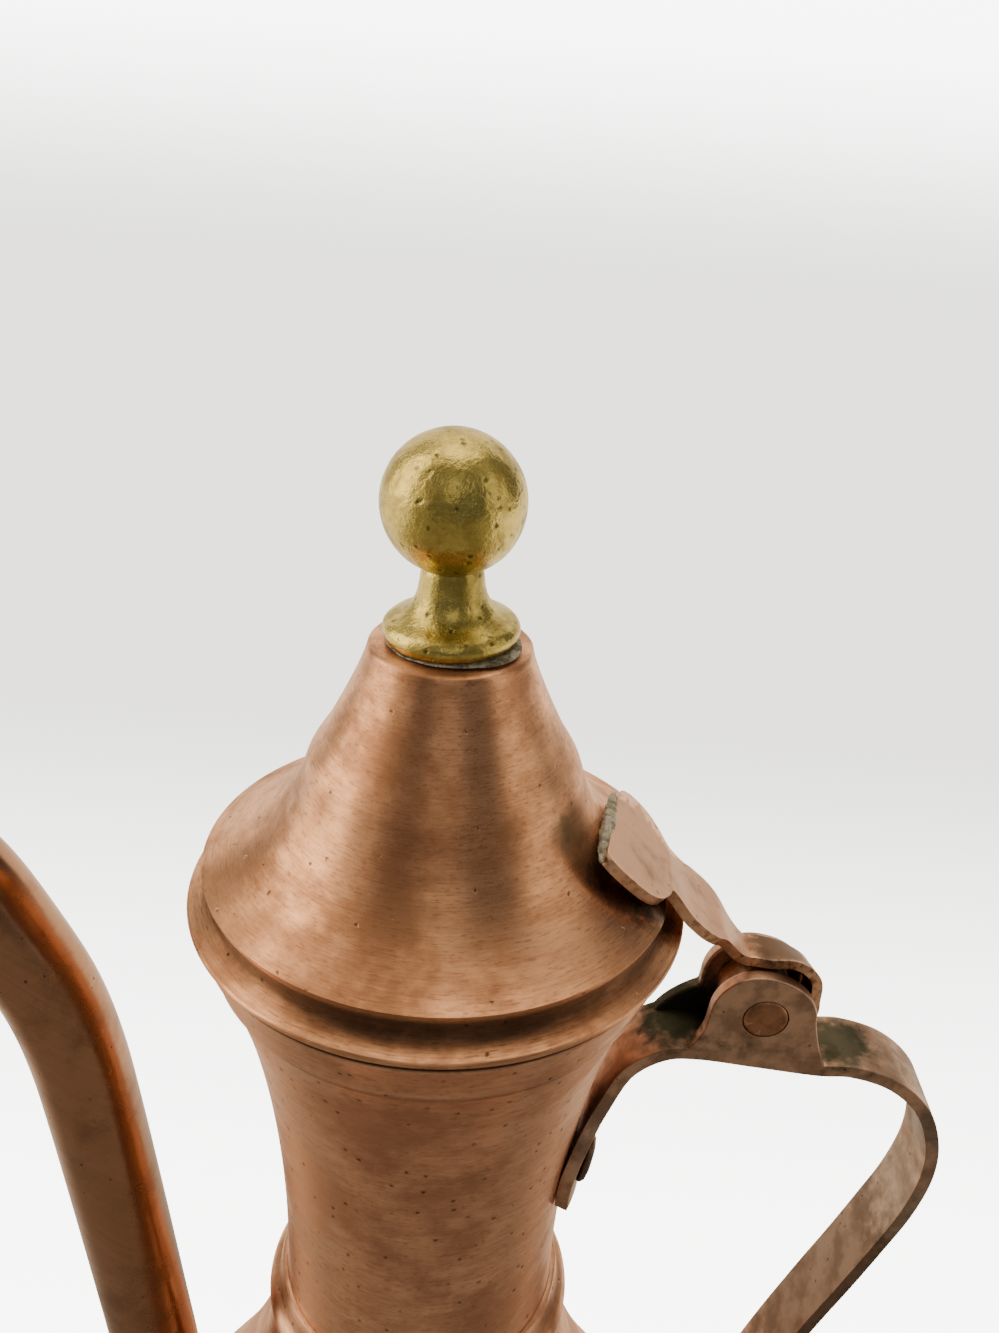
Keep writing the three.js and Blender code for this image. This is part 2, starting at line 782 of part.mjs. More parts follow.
// Front and back edge of each station of the tongue, from the pin.
function rolledStations() {
  const tight = pinRadius + pinClearance + strapPlate + 0.1;
  const loosen = tight - rollKnots.at(-1)[1];
  const knots = rollKnots.map((knot) => new THREE.Vector3(...knot));
  const curve = new THREE.CatmullRomCurve3(knots, false, "catmullrom", 0.5);
  return curve.getPoints(42).map(({ x, y, z }) => {
    const angle = THREE.MathUtils.degToRad(x);
    const edge = (radius, side) =>
      new THREE.Vector3(Math.sin(angle), 0, Math.cos(angle)).multiplyScalar(radius + loosen).setY(side);
    return [edge(y, -knuckleHalfWidth), edge(z, knuckleHalfWidth)];
  });
}

function strapRings() {
  const tapered = neckStations.map(([x, z, front, back]) => [
    new THREE.Vector3(x, front, z),
    new THREE.Vector3(x, back, z),
  ]);
  const stations = [...tapered, ...rolledStations()];
  const bent = stations.map((edges, i) => {
    const before = stations[Math.max(i - 1, 0)];
    const after = stations[Math.min(i + 1, stations.length - 1)];
    const [front, back] = edges.map((edge, side) => {
      const along = after[side].clone().sub(before[side]).setY(0).normalize();
      const top = new THREE.Vector3(pinX, 0, pinZ).add(edge);
      const under = new THREE.Vector3(along.z, 0, -along.x).multiplyScalar(strapPlate).add(top);
      return { top, under };
    });
    return [front.top, back.top, back.under, front.under];
  });
  const flat = padEdges.map(([frontDown, frontY, backDown, backY]) => [
    onPad(frontDown, frontY, padTop),
    onPad(backDown, backY, padTop),
    onPad(backDown, backY, padUnder),
    onPad(frontDown, frontY, padUnder),
  ]);
  return [...flat, ...bent];
}

piece("lid_strap", loft(strapRings()), copper());

// Solder bed under the pad, with a bead along its uphill edge

function padBlock(outline, low, high) {
  const block = new THREE.ExtrudeGeometry(new THREE.Shape(outline), { depth: high - low, bevelEnabled: false });
  const frame = new THREE.Matrix4().makeBasis(padDown, new THREE.Vector3(0, 1, 0), padOut);
  block.translate(0, 0, low).applyMatrix4(frame);
  return closed(block.translate(bellEdge.x, bellEdge.y, bellEdge.z + lipLevel));
}

function solderBed() {
  const [frontDown, frontY, backDown, backY] = padEdges[0];
  const edge = (y) => frontDown + ((y - frontY) * (backDown - frontDown)) / (backY - frontY);
  const { front, back, bead, under, depth } = solderSpan;
  const bed = padBlock(
    [
      at(edge(front) - bead, front),
      at(edge(front) + under, front),
      at(-under, front + under / 2),
      at(-under, back),
      at(edge(back) - bead, back),
    ],
    -depth,
    padUnder - seam,
  );
  const beadLine = padBlock(
    [
      at(edge(front) - bead, front),
      at(edge(front) - seam, front),
      at(edge(back) - seam, back),
      at(edge(back) - bead, back),
    ],
    -depth,
    padUnder + strapPlate * 0.45,
  );
  const skin = offset(lidOuter, seam);
  const lidFilled = turned([at(0, lidCrown), ...skin, at(bellRadius, 0), at(0, 0)]);
  return cut(join(bed, beadLine), pressSeat(lidFilled, seam).translate(0, 0, lipLevel));
}

piece("strap_solder", solderBed(), solder());

export default ewer;
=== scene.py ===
"""Looks of a copper ewer with a hinged lid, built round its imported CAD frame.

Sizes are in millimetres until a point reaches a mesh. Z is up along the vessel's axis, the spout points
to -X, the handle and the lid's hinge to +X, and the hinge pin lies along Y.
"""

from __future__ import annotations

import logging
import math
from dataclasses import dataclass, field
from enum import Enum
from typing import Callable, Iterable, Sequence

import bpy
from mathutils import Matrix, Vector, noise

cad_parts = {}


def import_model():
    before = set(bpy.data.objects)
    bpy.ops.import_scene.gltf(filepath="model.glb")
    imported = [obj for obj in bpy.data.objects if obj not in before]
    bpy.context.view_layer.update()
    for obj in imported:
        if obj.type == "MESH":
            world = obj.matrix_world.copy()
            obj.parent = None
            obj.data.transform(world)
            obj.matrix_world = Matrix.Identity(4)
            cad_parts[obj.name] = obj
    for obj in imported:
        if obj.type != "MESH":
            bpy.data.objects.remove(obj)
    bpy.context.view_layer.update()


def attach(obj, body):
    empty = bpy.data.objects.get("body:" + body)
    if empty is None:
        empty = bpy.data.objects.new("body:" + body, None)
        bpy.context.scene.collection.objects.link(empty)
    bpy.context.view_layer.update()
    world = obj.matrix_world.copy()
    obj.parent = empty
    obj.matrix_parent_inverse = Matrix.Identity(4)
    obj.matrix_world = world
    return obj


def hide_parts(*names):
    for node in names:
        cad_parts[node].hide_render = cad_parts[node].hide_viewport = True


LOG = logging.getLogger("ewer")
MM = 0.001
Outline = list[tuple[float, float]]
Place = Callable[[Vector], Vector]


class Body(Enum):
    """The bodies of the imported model."""

    VESSEL = "vessel"
    LID = "lid"


class Slot(Enum):
    """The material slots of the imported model."""

    BODY = "copper_body"
    LID = "copper_lid"
    STRAP = "copper_strap"
    DARK = "dark_copper"
    BRASS = "brass"
    SOLDER = "solder"


# Levels that several pieces share
SHEET = 1.2
SEAM = 0.3
SHOULDER = 143.0
BAND = 228.2
RIM = 236.8
LIP = 238.0
PIN = (53.8, 220.0)
WAIST_TURN = math.radians(-13)


# Outlines


def bezier(start: tuple, lead: tuple, trail: tuple, end: tuple, steps: int) -> Outline:
    """Points of a cubic Bezier curve.

    Args:
        start: First point.
        lead: Handle of the first point.
        trail: Handle of the last point.
        end: Last point.
        steps: Number of steps.

    Returns:
        The points, both ends among them.
    """
    points = []
    for i in range(steps + 1):
        t = i / steps
        weights = ((1 - t) ** 3, 3 * t * (1 - t) ** 2, 3 * t * t * (1 - t), t**3)
        knots = (start, lead, trail, end)
        points.append(tuple(sum(w * k[axis] for w, k in zip(weights, knots)) for axis in (0, 1)))
    return points


def arc(centre: tuple, radii: tuple, start: float, end: float, steps: int) -> Outline:
    """Points of an ellipse's arc, with its angles in degrees."""
    turns = [math.radians(start + (end - start) * i / steps) for i in range(steps + 1)]
    return [(centre[0] + radii[0] * math.cos(t), centre[1] + radii[1] * math.sin(t)) for t in turns]


def offset(outline: Outline, distance: float) -> Outline:
    """An outline moved sideways by a distance, to the left of its direction.

    Args:
        outline: The outline to move.
        distance: How far to its left it goes.

    Returns:
        The moved points, as many as before.
    """
    moved = []
    for i, (x, y) in enumerate(outline):
        before = outline[max(i - 1, 0)]
        after = outline[min(i + 1, len(outline) - 1)]
        along = Vector((after[0] - before[0], after[1] - before[1])).normalized()
        moved.append((x - along.y * distance, y + along.x * distance))
    return moved


def wall_at(outline: Outline, height: float) -> tuple[float, tuple[float, float]]:
    """The radius and the outward normal of a falling outline at a height.

    Args:
        outline: Points that fall from first to last.
        height: The height to look at.

    Returns:
        The radius there and the normal that points outwards.
    """
    for above, below in zip(outline, outline[1:]):
        if below[1] <= height:
            share = (above[1] - height) / (above[1] - below[1])
            along = Vector((below[0] - above[0], below[1] - above[1])).normalized()
            return above[0] + (below[0] - above[0]) * share, (-along.y, along.x)
    raise ValueError(f"no wall at {height}")


def spline(knots: Sequence[Sequence[float]], steps: int) -> list[tuple[float, ...]]:
    """Points of a uniform Catmull-Rom spline through knots of any dimension.

    Args:
        knots: The points that the spline passes.
        steps: Number of steps over the whole spline.

    Returns:
        The points, both ends among them.
    """
    points = []
    spans = len(knots) - 1
    for i in range(steps + 1):
        place = spans * i / steps
        span = min(int(place), spans - 1)
        t = place - span
        p0, p1 = knots[max(span - 1, 0)], knots[span]
        p2, p3 = knots[span + 1], knots[min(span + 2, spans)]
        point = []
        for a, b, c, d in zip(p0, p1, p2, p3):
            pull, push = (c - a) / 2, (d - b) / 2
            cubic = (2 * b - 2 * c + pull + push) * t**3 + (3 * c - 3 * b - 2 * pull - push) * t * t
            point.append(cubic + pull * t + b)
        points.append(tuple(point))
    return points


def between(start: tuple, end: tuple, share: float) -> tuple[float, ...]:
    """The point at a share of the way from start to end."""
    return tuple(a + (b - a) * share for a, b in zip(start, end))


def smooth(value: float, low: float, high: float) -> float:
    """A smooth step from 0 at low to 1 at high."""
    t = min(max((value - low) / (high - low), 0), 1)
    return t * t * (3 - 2 * t)


BODY_OUTER = bezier((26.5, SHOULDER), (37, SHOULDER - 46.6), (69.98, 61.3), (69.98, 42.15), 30)
BOWL_OUTER = bezier((69.98, 41.85), (69.98, 22.1), (64.8, 14.5), (46, 7), 24) + [(46, SHEET + SEAM)]
NECK_OUTER = bezier((34.6, BAND), (27.2, BAND - 15.9), (24.2, 179.7), (24.6, 158), 36) + [(25, 139)]
LID_OUTER = (
    bezier((11.8, 42.4), (12.3, 39.4), (16.3, 31.1), (18, 27.9), 16)
    + bezier((18, 27.9), (22.8, 19), (22.8, 12.1), (36.2, 6.3), 30)[1:]
)


# Work on meshes


def deselect() -> None:
    """Leaves nothing selected."""
    bpy.ops.object.select_all(action="DESELECT")


def only(piece: bpy.types.Object) -> None:
    """Makes a piece the one that is selected and active.

    Args:
        piece: The piece.
    """
    deselect()
    piece.select_set(True)
    bpy.context.view_layer.objects.active = piece


def named(name: str) -> bpy.types.Object:
    """Names the newest primitive and its mesh, and gives it back.

    Args:
        name: Their name.

    Returns:
        The primitive's object.
    """
    piece = bpy.context.object
    piece.name = piece.data.name = name
    return piece


def edit_all() -> None:
    """Goes into edit mode with everything selected."""
    bpy.ops.object.mode_set(mode="EDIT")
    bpy.ops.mesh.select_all(action="SELECT")


def apply_modifier(piece: bpy.types.Object, kind: str, **settings: object) -> None:
    """Adds a modifier with its settings to a piece and applies it.

    Args:
        piece: The piece.
        kind: The modifier's type.
        settings: Values of its properties.
    """
    only(piece)
    modifier = piece.modifiers.new(kind.title(), kind)
    for name, value in settings.items():
        setattr(modifier, name, value)
    bpy.ops.object.modifier_apply(modifier=modifier.name)


def round_edges(piece: bpy.types.Object, width: float) -> None:
    """Rounds a piece's sharp edges to a width in millimetres."""
    settings = {"width": width * MM, "segments": 3, "limit_method": "ANGLE", "angle_limit": 0.9}
    apply_modifier(piece, "BEVEL", **settings)


def tidy_faces(piece: bpy.types.Object) -> None:
    """Merges a piece's doubles and turns its faces outwards.

    Args:
        piece: The piece.
    """
    only(piece)
    edit_all()
    bpy.ops.mesh.remove_doubles(threshold=0.002 * MM)
    bpy.ops.mesh.normals_make_consistent(inside=False)
    bpy.ops.object.mode_set(mode="OBJECT")


def shade(piece: bpy.types.Object, angle: float = 35) -> None:
    """Shades a piece smooth, apart from edges sharper than an angle in degrees."""
    only(piece)
    bpy.ops.object.shade_smooth_by_angle(angle=math.radians(angle))


def move_points(piece: bpy.types.Object, place: Place) -> None:
    """Moves every vertex of a piece, both places in millimetres.

    Args:
        piece: The piece.
        place: Gives the new place of a place.
    """
    for vertex in piece.data.vertices:
        vertex.co = place(vertex.co / MM) * MM
    piece.data.update()


def turn_on_lathe(name: str, outline: Outline, steps: int = 144) -> bpy.types.Object:
    """Extrudes a vertex along an outline and spins it round Z.

    Args:
        name: Name of the piece.
        outline: Points of radius and height. It is closed unless it starts on the axis.
        steps: Steps of the full turn.

    Returns:
        The closed piece.
    """
    points = outline if abs(outline[0][0]) < 1e-6 else outline + outline[:1]
    deselect()
    bpy.ops.mesh.primitive_plane_add(size=MM)
    piece = named(name)
    edit_all()
    bpy.ops.mesh.merge(type="CENTER")
    bpy.ops.transform.translate(value=(points[0][0] * MM, 0, points[0][1] * MM))
    for (x0, y0), (x1, y1) in zip(points, points[1:]):
        step = ((x1 - x0) * MM, 0, (y1 - y0) * MM)
        bpy.ops.mesh.extrude_region_move(TRANSFORM_OT_translate={"value": step})
    bpy.ops.mesh.select_all(action="SELECT")
    bpy.ops.mesh.spin(steps=steps, angle=math.tau, center=(0, 0, 0), axis=(0, 0, 1))
    bpy.ops.object.mode_set(mode="OBJECT")
    tidy_faces(piece)
    return piece


def sheet_blank(name: str, rows: Sequence[Sequence[Vector]]) -> bpy.types.Object:
    """Moves the points of a flat grid onto rows of places, as sheet is bent to shape.

    Args:
        name: Name of the piece.
        rows: Rows of the same number of places, in millimetres.

    Returns:
        The bent sheet, without thickness.
    """
    across, along = len(rows[0]), len(rows)
    deselect()
    bpy.ops.mesh.primitive_grid_add(x_subdivisions=across - 1, y_subdivisions=along - 1, size=1)
    piece = named(name)
    for vertex in piece.data.vertices:
        column = round((vertex.co.x + 0.5) * (across - 1))
        row = round((vertex.co.y + 0.5) * (along - 1))
        vertex.co = rows[row][column] * MM
    piece.data.update()
    return piece


def plate(name: str, outline: Outline, low: float, high: float, bevel: float = 0) -> bpy.types.Object:
    """A plate of an outline in the XZ plane, between two places along Y.

    Args:
        name: Name of the piece.
        outline: Corners of X and Z.
        low: Lower place along Y.
        high: Higher place along Y.
        bevel: Width of the rounding of its rims.

    Returns:
        The closed plate.
    """
    deselect()
    bpy.ops.mesh.primitive_circle_add(vertices=len(outline), radius=1, fill_type="NGON")
    piece = named(name)
    for vertex, (x, z) in zip(piece.data.vertices, outline):
        vertex.co = Vector((x, low, z)) * MM
    edit_all()
    bpy.ops.mesh.extrude_region_move(TRANSFORM_OT_translate={"value": (0, (high - low) * MM, 0)})
    bpy.ops.object.mode_set(mode="OBJECT")
    tidy_faces(piece)
    if bevel:
        round_edges(piece, bevel)
    return piece


def combine(piece: bpy.types.Object, tool: bpy.types.Object, operation: str) -> None:
    """Joins a tool to a piece or cuts it away, and deletes the tool."""
    apply_modifier(piece, "BOOLEAN", object=tool, operation=operation, solver="EXACT")
    bpy.data.objects.remove(tool, do_unlink=True)


def place_by(piece: bpy.types.Object, matrix: Matrix) -> bpy.types.Object:
    """Moves a piece's vertices by a matrix in millimetres."""
    move_points(piece, lambda point: matrix @ point)
    return piece


def settle(piece: bpy.types.Object, node: str, body: Body, finish: bpy.types.Material) -> None:
    """Dresses a piece and lets it stand for a CAD node.

    Args:
        piece: The finished piece.
        node: The CAD node that it replaces.
        body: The body that it moves with.
        finish: Its material.
    """
    piece.data.materials.clear()
    piece.data.materials.append(finish)
    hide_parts(node)
    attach(piece, body.value)
    LOG.info("%s stands for %s with %d faces", piece.name, node, len(piece.data.polygons))


# Shader groups


class Graph:
    """Builds the nodes of a material or of a group."""

    def __init__(self, tree: bpy.types.NodeTree) -> None:
        """Takes the node tree to build in."""
        self.tree = tree

    def node(self, kind: str, **settings: object) -> bpy.types.Node:
        """Adds a node of a kind with its settings.

        Args:
            kind: The node's type.
            settings: Values of its properties.

        Returns:
            The node.
        """
        node = self.tree.nodes.new(kind)
        for name, value in settings.items():
            setattr(node, name, value)
        return node

    def feed(self, socket: bpy.types.NodeSocket, value: object) -> None:
        """Links an output to a socket, or sets the socket to a value.

        Args:
            socket: The input.
            value: An output to link, a value to set, or None to leave it.
        """
        if isinstance(value, bpy.types.NodeSocket):
            self.tree.links.new(value, socket)
        elif value is not None:
            socket.default_value = value

    def math(self, operation: str, *values: object, clamp: bool = False) -> bpy.types.NodeSocket:
        """A math node over numbers or outputs.

        Args:
            operation: What the node does.
            values: Its numbers or outputs.
            clamp: Whether it keeps its result between 0 and 1.

        Returns:
            Its output.
        """
        node = self.node("ShaderNodeMath", operation=operation, use_clamp=clamp)
        for socket, value in zip(node.inputs, values):
            self.feed(socket, value)
        return node.outputs[0]

    def times(self, first: object, second: object, clamp: bool = False) -> bpy.types.NodeSocket:
        """The product of two values, kept between 0 and 1 where clamp is set."""
        return self.math("MULTIPLY", first, second, clamp=clamp)

    def plus(self, first: object, second: object) -> bpy.types.NodeSocket:
        """The sum of two values."""
        return self.math("ADD", first, second)

    def minus(self, first: object, second: object) -> bpy.types.NodeSocket:
        """The first value less the second."""
        return self.math("SUBTRACT", first, second)

    def over(self, first: object, second: object) -> bpy.types.NodeSocket:
        """The first value divided by the second."""
        return self.math("DIVIDE", first, second)

    def length(self, x: object, y: object) -> bpy.types.NodeSocket:
        """The length of a flat vector."""
        return self.math("SQRT", self.plus(self.times(x, x), self.times(y, y)))

    def mix(self, share: object, first: object, second: object) -> bpy.types.NodeSocket:
        """A mix of two colours.

        Args:
            share: How much of the second colour there is.
            first: The first colour.
            second: The second colour.

        Returns:
            The mixed colour.
        """
        node = self.node("ShaderNodeMix", data_type="RGBA", clamp_factor=True)
        for socket, value in zip((node.inputs[0], node.inputs[6], node.inputs[7]), (share, first, second)):
            self.feed(socket, value)
        return node.outputs[2]

    def blend(self, share: object, first: object, second: object) -> bpy.types.NodeSocket:
        """A mix of two numbers.

        Args:
            share: How much of the second number there is.
            first: The first number.
            second: The second number.

        Returns:
            The mixed number.
        """
        node = self.node("ShaderNodeMix", data_type="FLOAT")
        for socket, value in zip(node.inputs[:1] + node.inputs[2:4], (share, first, second)):
            self.feed(socket, value)
        return node.outputs[0]

    def step(self, value: object, low: object, high: object) -> bpy.types.NodeSocket:
        """A smooth step of a value, from 0 at low to 1 at high.

        Args:
            value: The value.
            low: Where the step starts.
            high: Where it ends, above or below low.

        Returns:
            The share from 0 to 1.
        """
        node = self.node("ShaderNodeMapRange", interpolation_type="SMOOTHSTEP")
        for socket, given in zip(node.inputs, (value, low, high)):
            self.feed(socket, given)
        return node.outputs[0]

    def noise(
        self, vector: object, scale: object, detail: float = 3, rough: float = 0.55
    ) -> bpy.types.NodeSocket:
        """The value of a noise texture.

        Args:
            vector: The place to read it at.
            scale: Its scale.
            detail: Its octaves.
            rough: How strong the finer octaves are.

        Returns:
            Its value.
        """
        node = self.node("ShaderNodeTexNoise")
        self.feed(node.inputs["Vector"], vector)
        self.feed(node.inputs["Scale"], scale)
        node.inputs["Detail"].default_value = detail
        node.inputs["Roughness"].default_value = rough
        return node.outputs[0]

    def place(self) -> bpy.types.NodeSocket:
        """The place on the object, in millimetres.

        Returns:
            The place as a vector.
        """
        node = self.node("ShaderNodeVectorMath", operation="SCALE")
        self.feed(node.inputs[0], self.node("ShaderNodeTexCoord").outputs["Object"])
        node.inputs["Scale"].default_value = 1 / MM
        return node.outputs[0]

    def parts(self, vector: object) -> tuple[bpy.types.NodeSocket, ...]:
        """The X, Y and Z of a vector.

        Args:
            vector: The vector.

        Returns:
            Its three parts.
        """
        node = self.node("ShaderNodeSeparateXYZ")
        self.feed(node.inputs[0], vector)
        return tuple(node.outputs)

    def vector(self, *values: object) -> bpy.types.NodeSocket:
        """A vector from its X, Y and Z.

        Args:
            values: Its parts.

        Returns:
            The vector.
        """
        node = self.node("ShaderNodeCombineXYZ")
        for socket, value in zip(node.inputs, values):
            self.feed(socket, value)
        return node.outputs[0]

    def group(self, tree: bpy.types.NodeTree, **values: object) -> bpy.types.Node:
        """Places a group with the values of its inputs, named with underscores for spaces.

        Args:
            tree: The group.
            values: Values of its inputs.

        Returns:
            The group's node.
        """
        node = self.node("ShaderNodeGroup", node_tree=tree)
        for name, value in values.items():
            self.feed(node.inputs[name.replace("_", " ")], value)
        return node


def start_group(
    name: str, inputs: dict[str, float], outputs: Iterable[str]
) -> tuple[Graph, bpy.types.Node, bpy.types.Node]:
    """Starts a shader node group.

    Args:
        name: Name of the group.
        inputs: Its inputs with their defaults.
        outputs: Its outputs.

    Returns:
        The graph, the input node and the output node.
    """
    tree = bpy.data.node_groups.new(name, "ShaderNodeTree")
    for label, default in inputs.items():
        socket = tree.interface.new_socket(label, in_out="INPUT", socket_type="NodeSocketFloat")
        socket.default_value = default
    for label in outputs:
        tree.interface.new_socket(label, in_out="OUTPUT", socket_type="NodeSocketFloat")
    graph = Graph(tree)
    return graph, graph.node("NodeGroupInput"), graph.node("NodeGroupOutput")


def start_material(name: str) -> tuple[bpy.types.Material, Graph, bpy.types.Node]:
    """Starts a material.

    Args:
        name: Name of the material.

    Returns:
        The material, its graph and its Principled BSDF.
    """
    material = bpy.data.materials.new(name)
    material.use_nodes = True
    return material, Graph(material.node_tree), material.node_tree.nodes["Principled BSDF"]


def lathe_marks_group() -> bpy.types.NodeTree:
    """Fine marks that run round the Z axis: their height, and how light or dark each ring is.

    Returns:
        The group.
    """
    graph, given, out = start_group("lathe marks", {"Lines": 3.0, "Reach": 3.0}, ("Height", "Tone"))
    x, y, z = graph.parts(graph.place())
    radius = graph.length(x, y)
    around = [graph.times(graph.over(part, radius), given.outputs["Reach"]) for part in (x, y)]
    level = graph.minus(z, radius)
    spread = graph.times(level, given.outputs["Lines"])
    fine = graph.noise(graph.vector(*around, spread), 1.0, 2, 0.6)
    short = [graph.times(part, 5.0) for part in around]
    brushed = graph.noise(graph.vector(*short, graph.times(spread, 0.75)), 1.0, 3, 0.7)
    flecks = graph.step(brushed, 0.56, 0.68)
    broad = graph.noise(graph.vector(*around, graph.times(level, 0.35)), 1.0, 4, 0.6)
    height = graph.plus(graph.times(fine, 0.5), graph.times(brushed, 0.5))
    graph.feed(out.inputs["Height"], height)
    tone = graph.plus(graph.times(broad, 0.5), graph.times(height, 0.5))
    tone = graph.plus(graph.step(tone, 0.36, 0.64), graph.times(flecks, 0.8))
    graph.feed(out.inputs["Tone"], graph.times(tone, 0.8, clamp=True))
    return graph.tree


def blotch_group() -> bpy.types.NodeTree:
    """Cloudy blotches of tarnish, as a mask of their own size and cover.

    Returns:
        The group.
    """
    graph, given, out = start_group("blotches", {"Size": 12.0, "Cover": 0.5, "Edge": 0.12}, ("Mask",))
    scale = graph.over(1.0, given.outputs["Size"])
    cloud = graph.noise(graph.place(), scale, 6, 0.62)
    level = graph.minus(0.78, graph.times(given.outputs["Cover"], 0.56))
    low = graph.minus(level, given.outputs["Edge"])
    high = graph.plus(level, given.outputs["Edge"])
    graph.feed(out.inputs["Mask"], graph.step(cloud, low, high))
    return graph.tree


def pit_group() -> bpy.types.NodeTree:
    """Small pits and nicks: a mask that is 1 in their middles.

    Returns:
        The group.
    """
    graph, given, out = start_group("pits", {"Spacing": 3.0, "Size": 0.25, "Share": 0.5}, ("Mask",))
    scale = graph.over(1.0, given.outputs["Spacing"])
    place = graph.place()
    cells = graph.node("ShaderNodeTexVoronoi", feature="F1")
    graph.feed(cells.inputs["Vector"], place)
    graph.feed(cells.inputs["Scale"], scale)
    wobble = graph.times(graph.minus(graph.noise(place, 2.2, 2), 0.5), 0.25)
    near = graph.plus(cells.outputs["Distance"], wobble)
    shape = graph.step(near, given.outputs["Size"], 0.0)
    chance = graph.parts(cells.outputs["Color"])[0]
    present = graph.math("LESS_THAN", chance, given.outputs["Share"])
    graph.feed(out.inputs["Mask"], graph.times(shape, present))
    return graph.tree


def worn_edge_group() -> bpy.types.NodeTree:
    """Edges that wear has brightened, from how far the surface stands proud.

    Returns:
        The group.
    """
    graph, given, out = start_group("worn edges", {"Low": 0.525, "High": 0.585}, ("Mask",))
    proud = graph.node("ShaderNodeNewGeometry").outputs["Pointiness"]
    mask = graph.step(proud, given.outputs["Low"], given.outputs["High"])
    broken = graph.noise(graph.place(), 0.9, 3)
    graph.feed(out.inputs["Mask"], graph.times(mask, graph.step(broken, 0.3, 0.55), clamp=True))
    return graph.tree


def ring_zone_group() -> bpy.types.NodeTree:
    """A soft zone round the Z axis, between two heights and outside a radius.

    Returns:
        The group.
    """
    graph, given, out = start_group("ring zone", {"Height": 240.0, "Half": 2.0, "Inside": 0.0}, ("Mask",))
    x, y, z = graph.parts(graph.place())
    radius = graph.length(x, y)
    apart = graph.math("ABSOLUTE", graph.minus(z, given.outputs["Height"]))
    band = graph.step(apart, given.outputs["Half"], graph.times(given.outputs["Half"], 0.35))
    outside = graph.math("GREATER_THAN", radius, given.outputs["Inside"])
    graph.feed(out.inputs["Mask"], graph.times(band, outside))
    return graph.tree


def ball_zone_group() -> bpy.types.NodeTree:
    """A soft ball-shaped zone round a point, with a ragged border.

    Returns:
        The group.
    """
    graph, given, out = start_group("ball zone", {"X": 0.0, "Y": 0.0, "Z": 0.0, "Radius": 5.0}, ("Mask",))
    place = graph.place()
    away = graph.node("ShaderNodeVectorMath", operation="DISTANCE")
    graph.feed(away.inputs[0], place)
    graph.feed(away.inputs[1], graph.vector(*(given.outputs[axis] for axis in "XYZ")))
    ragged = graph.times(graph.minus(graph.noise(place, 0.45, 4), 0.5), 1.1)
    near = graph.plus(graph.over(away.outputs["Value"], given.outputs["Radius"]), ragged)
    graph.feed(out.inputs["Mask"], graph.step(near, 1.3, 0.55))
    return graph.tree


@dataclass
class Workshop:
    """The shader groups that the finishes share, each built once."""

    lathe: bpy.types.NodeTree = field(default_factory=lathe_marks_group)
    blotches: bpy.types.NodeTree = field(default_factory=blotch_group)
    pits: bpy.types.NodeTree = field(default_factory=pit_group)
    edges: bpy.types.NodeTree = field(default_factory=worn_edge_group)
    ring: bpy.types.NodeTree = field(default_factory=ring_zone_group)
    ball: bpy.types.NodeTree = field(default_factory=ball_zone_group)


Colour = tuple[float, float, float, float]


@dataclass(frozen=True)
class Zone:
    """A place on a piece painted in another colour; some zones are tarnish, some are painted shade."""

    centre: tuple[float, float, float]
    radius: float
    colour: Colour
    strength: float = 1.0
    rough: float = 0.2


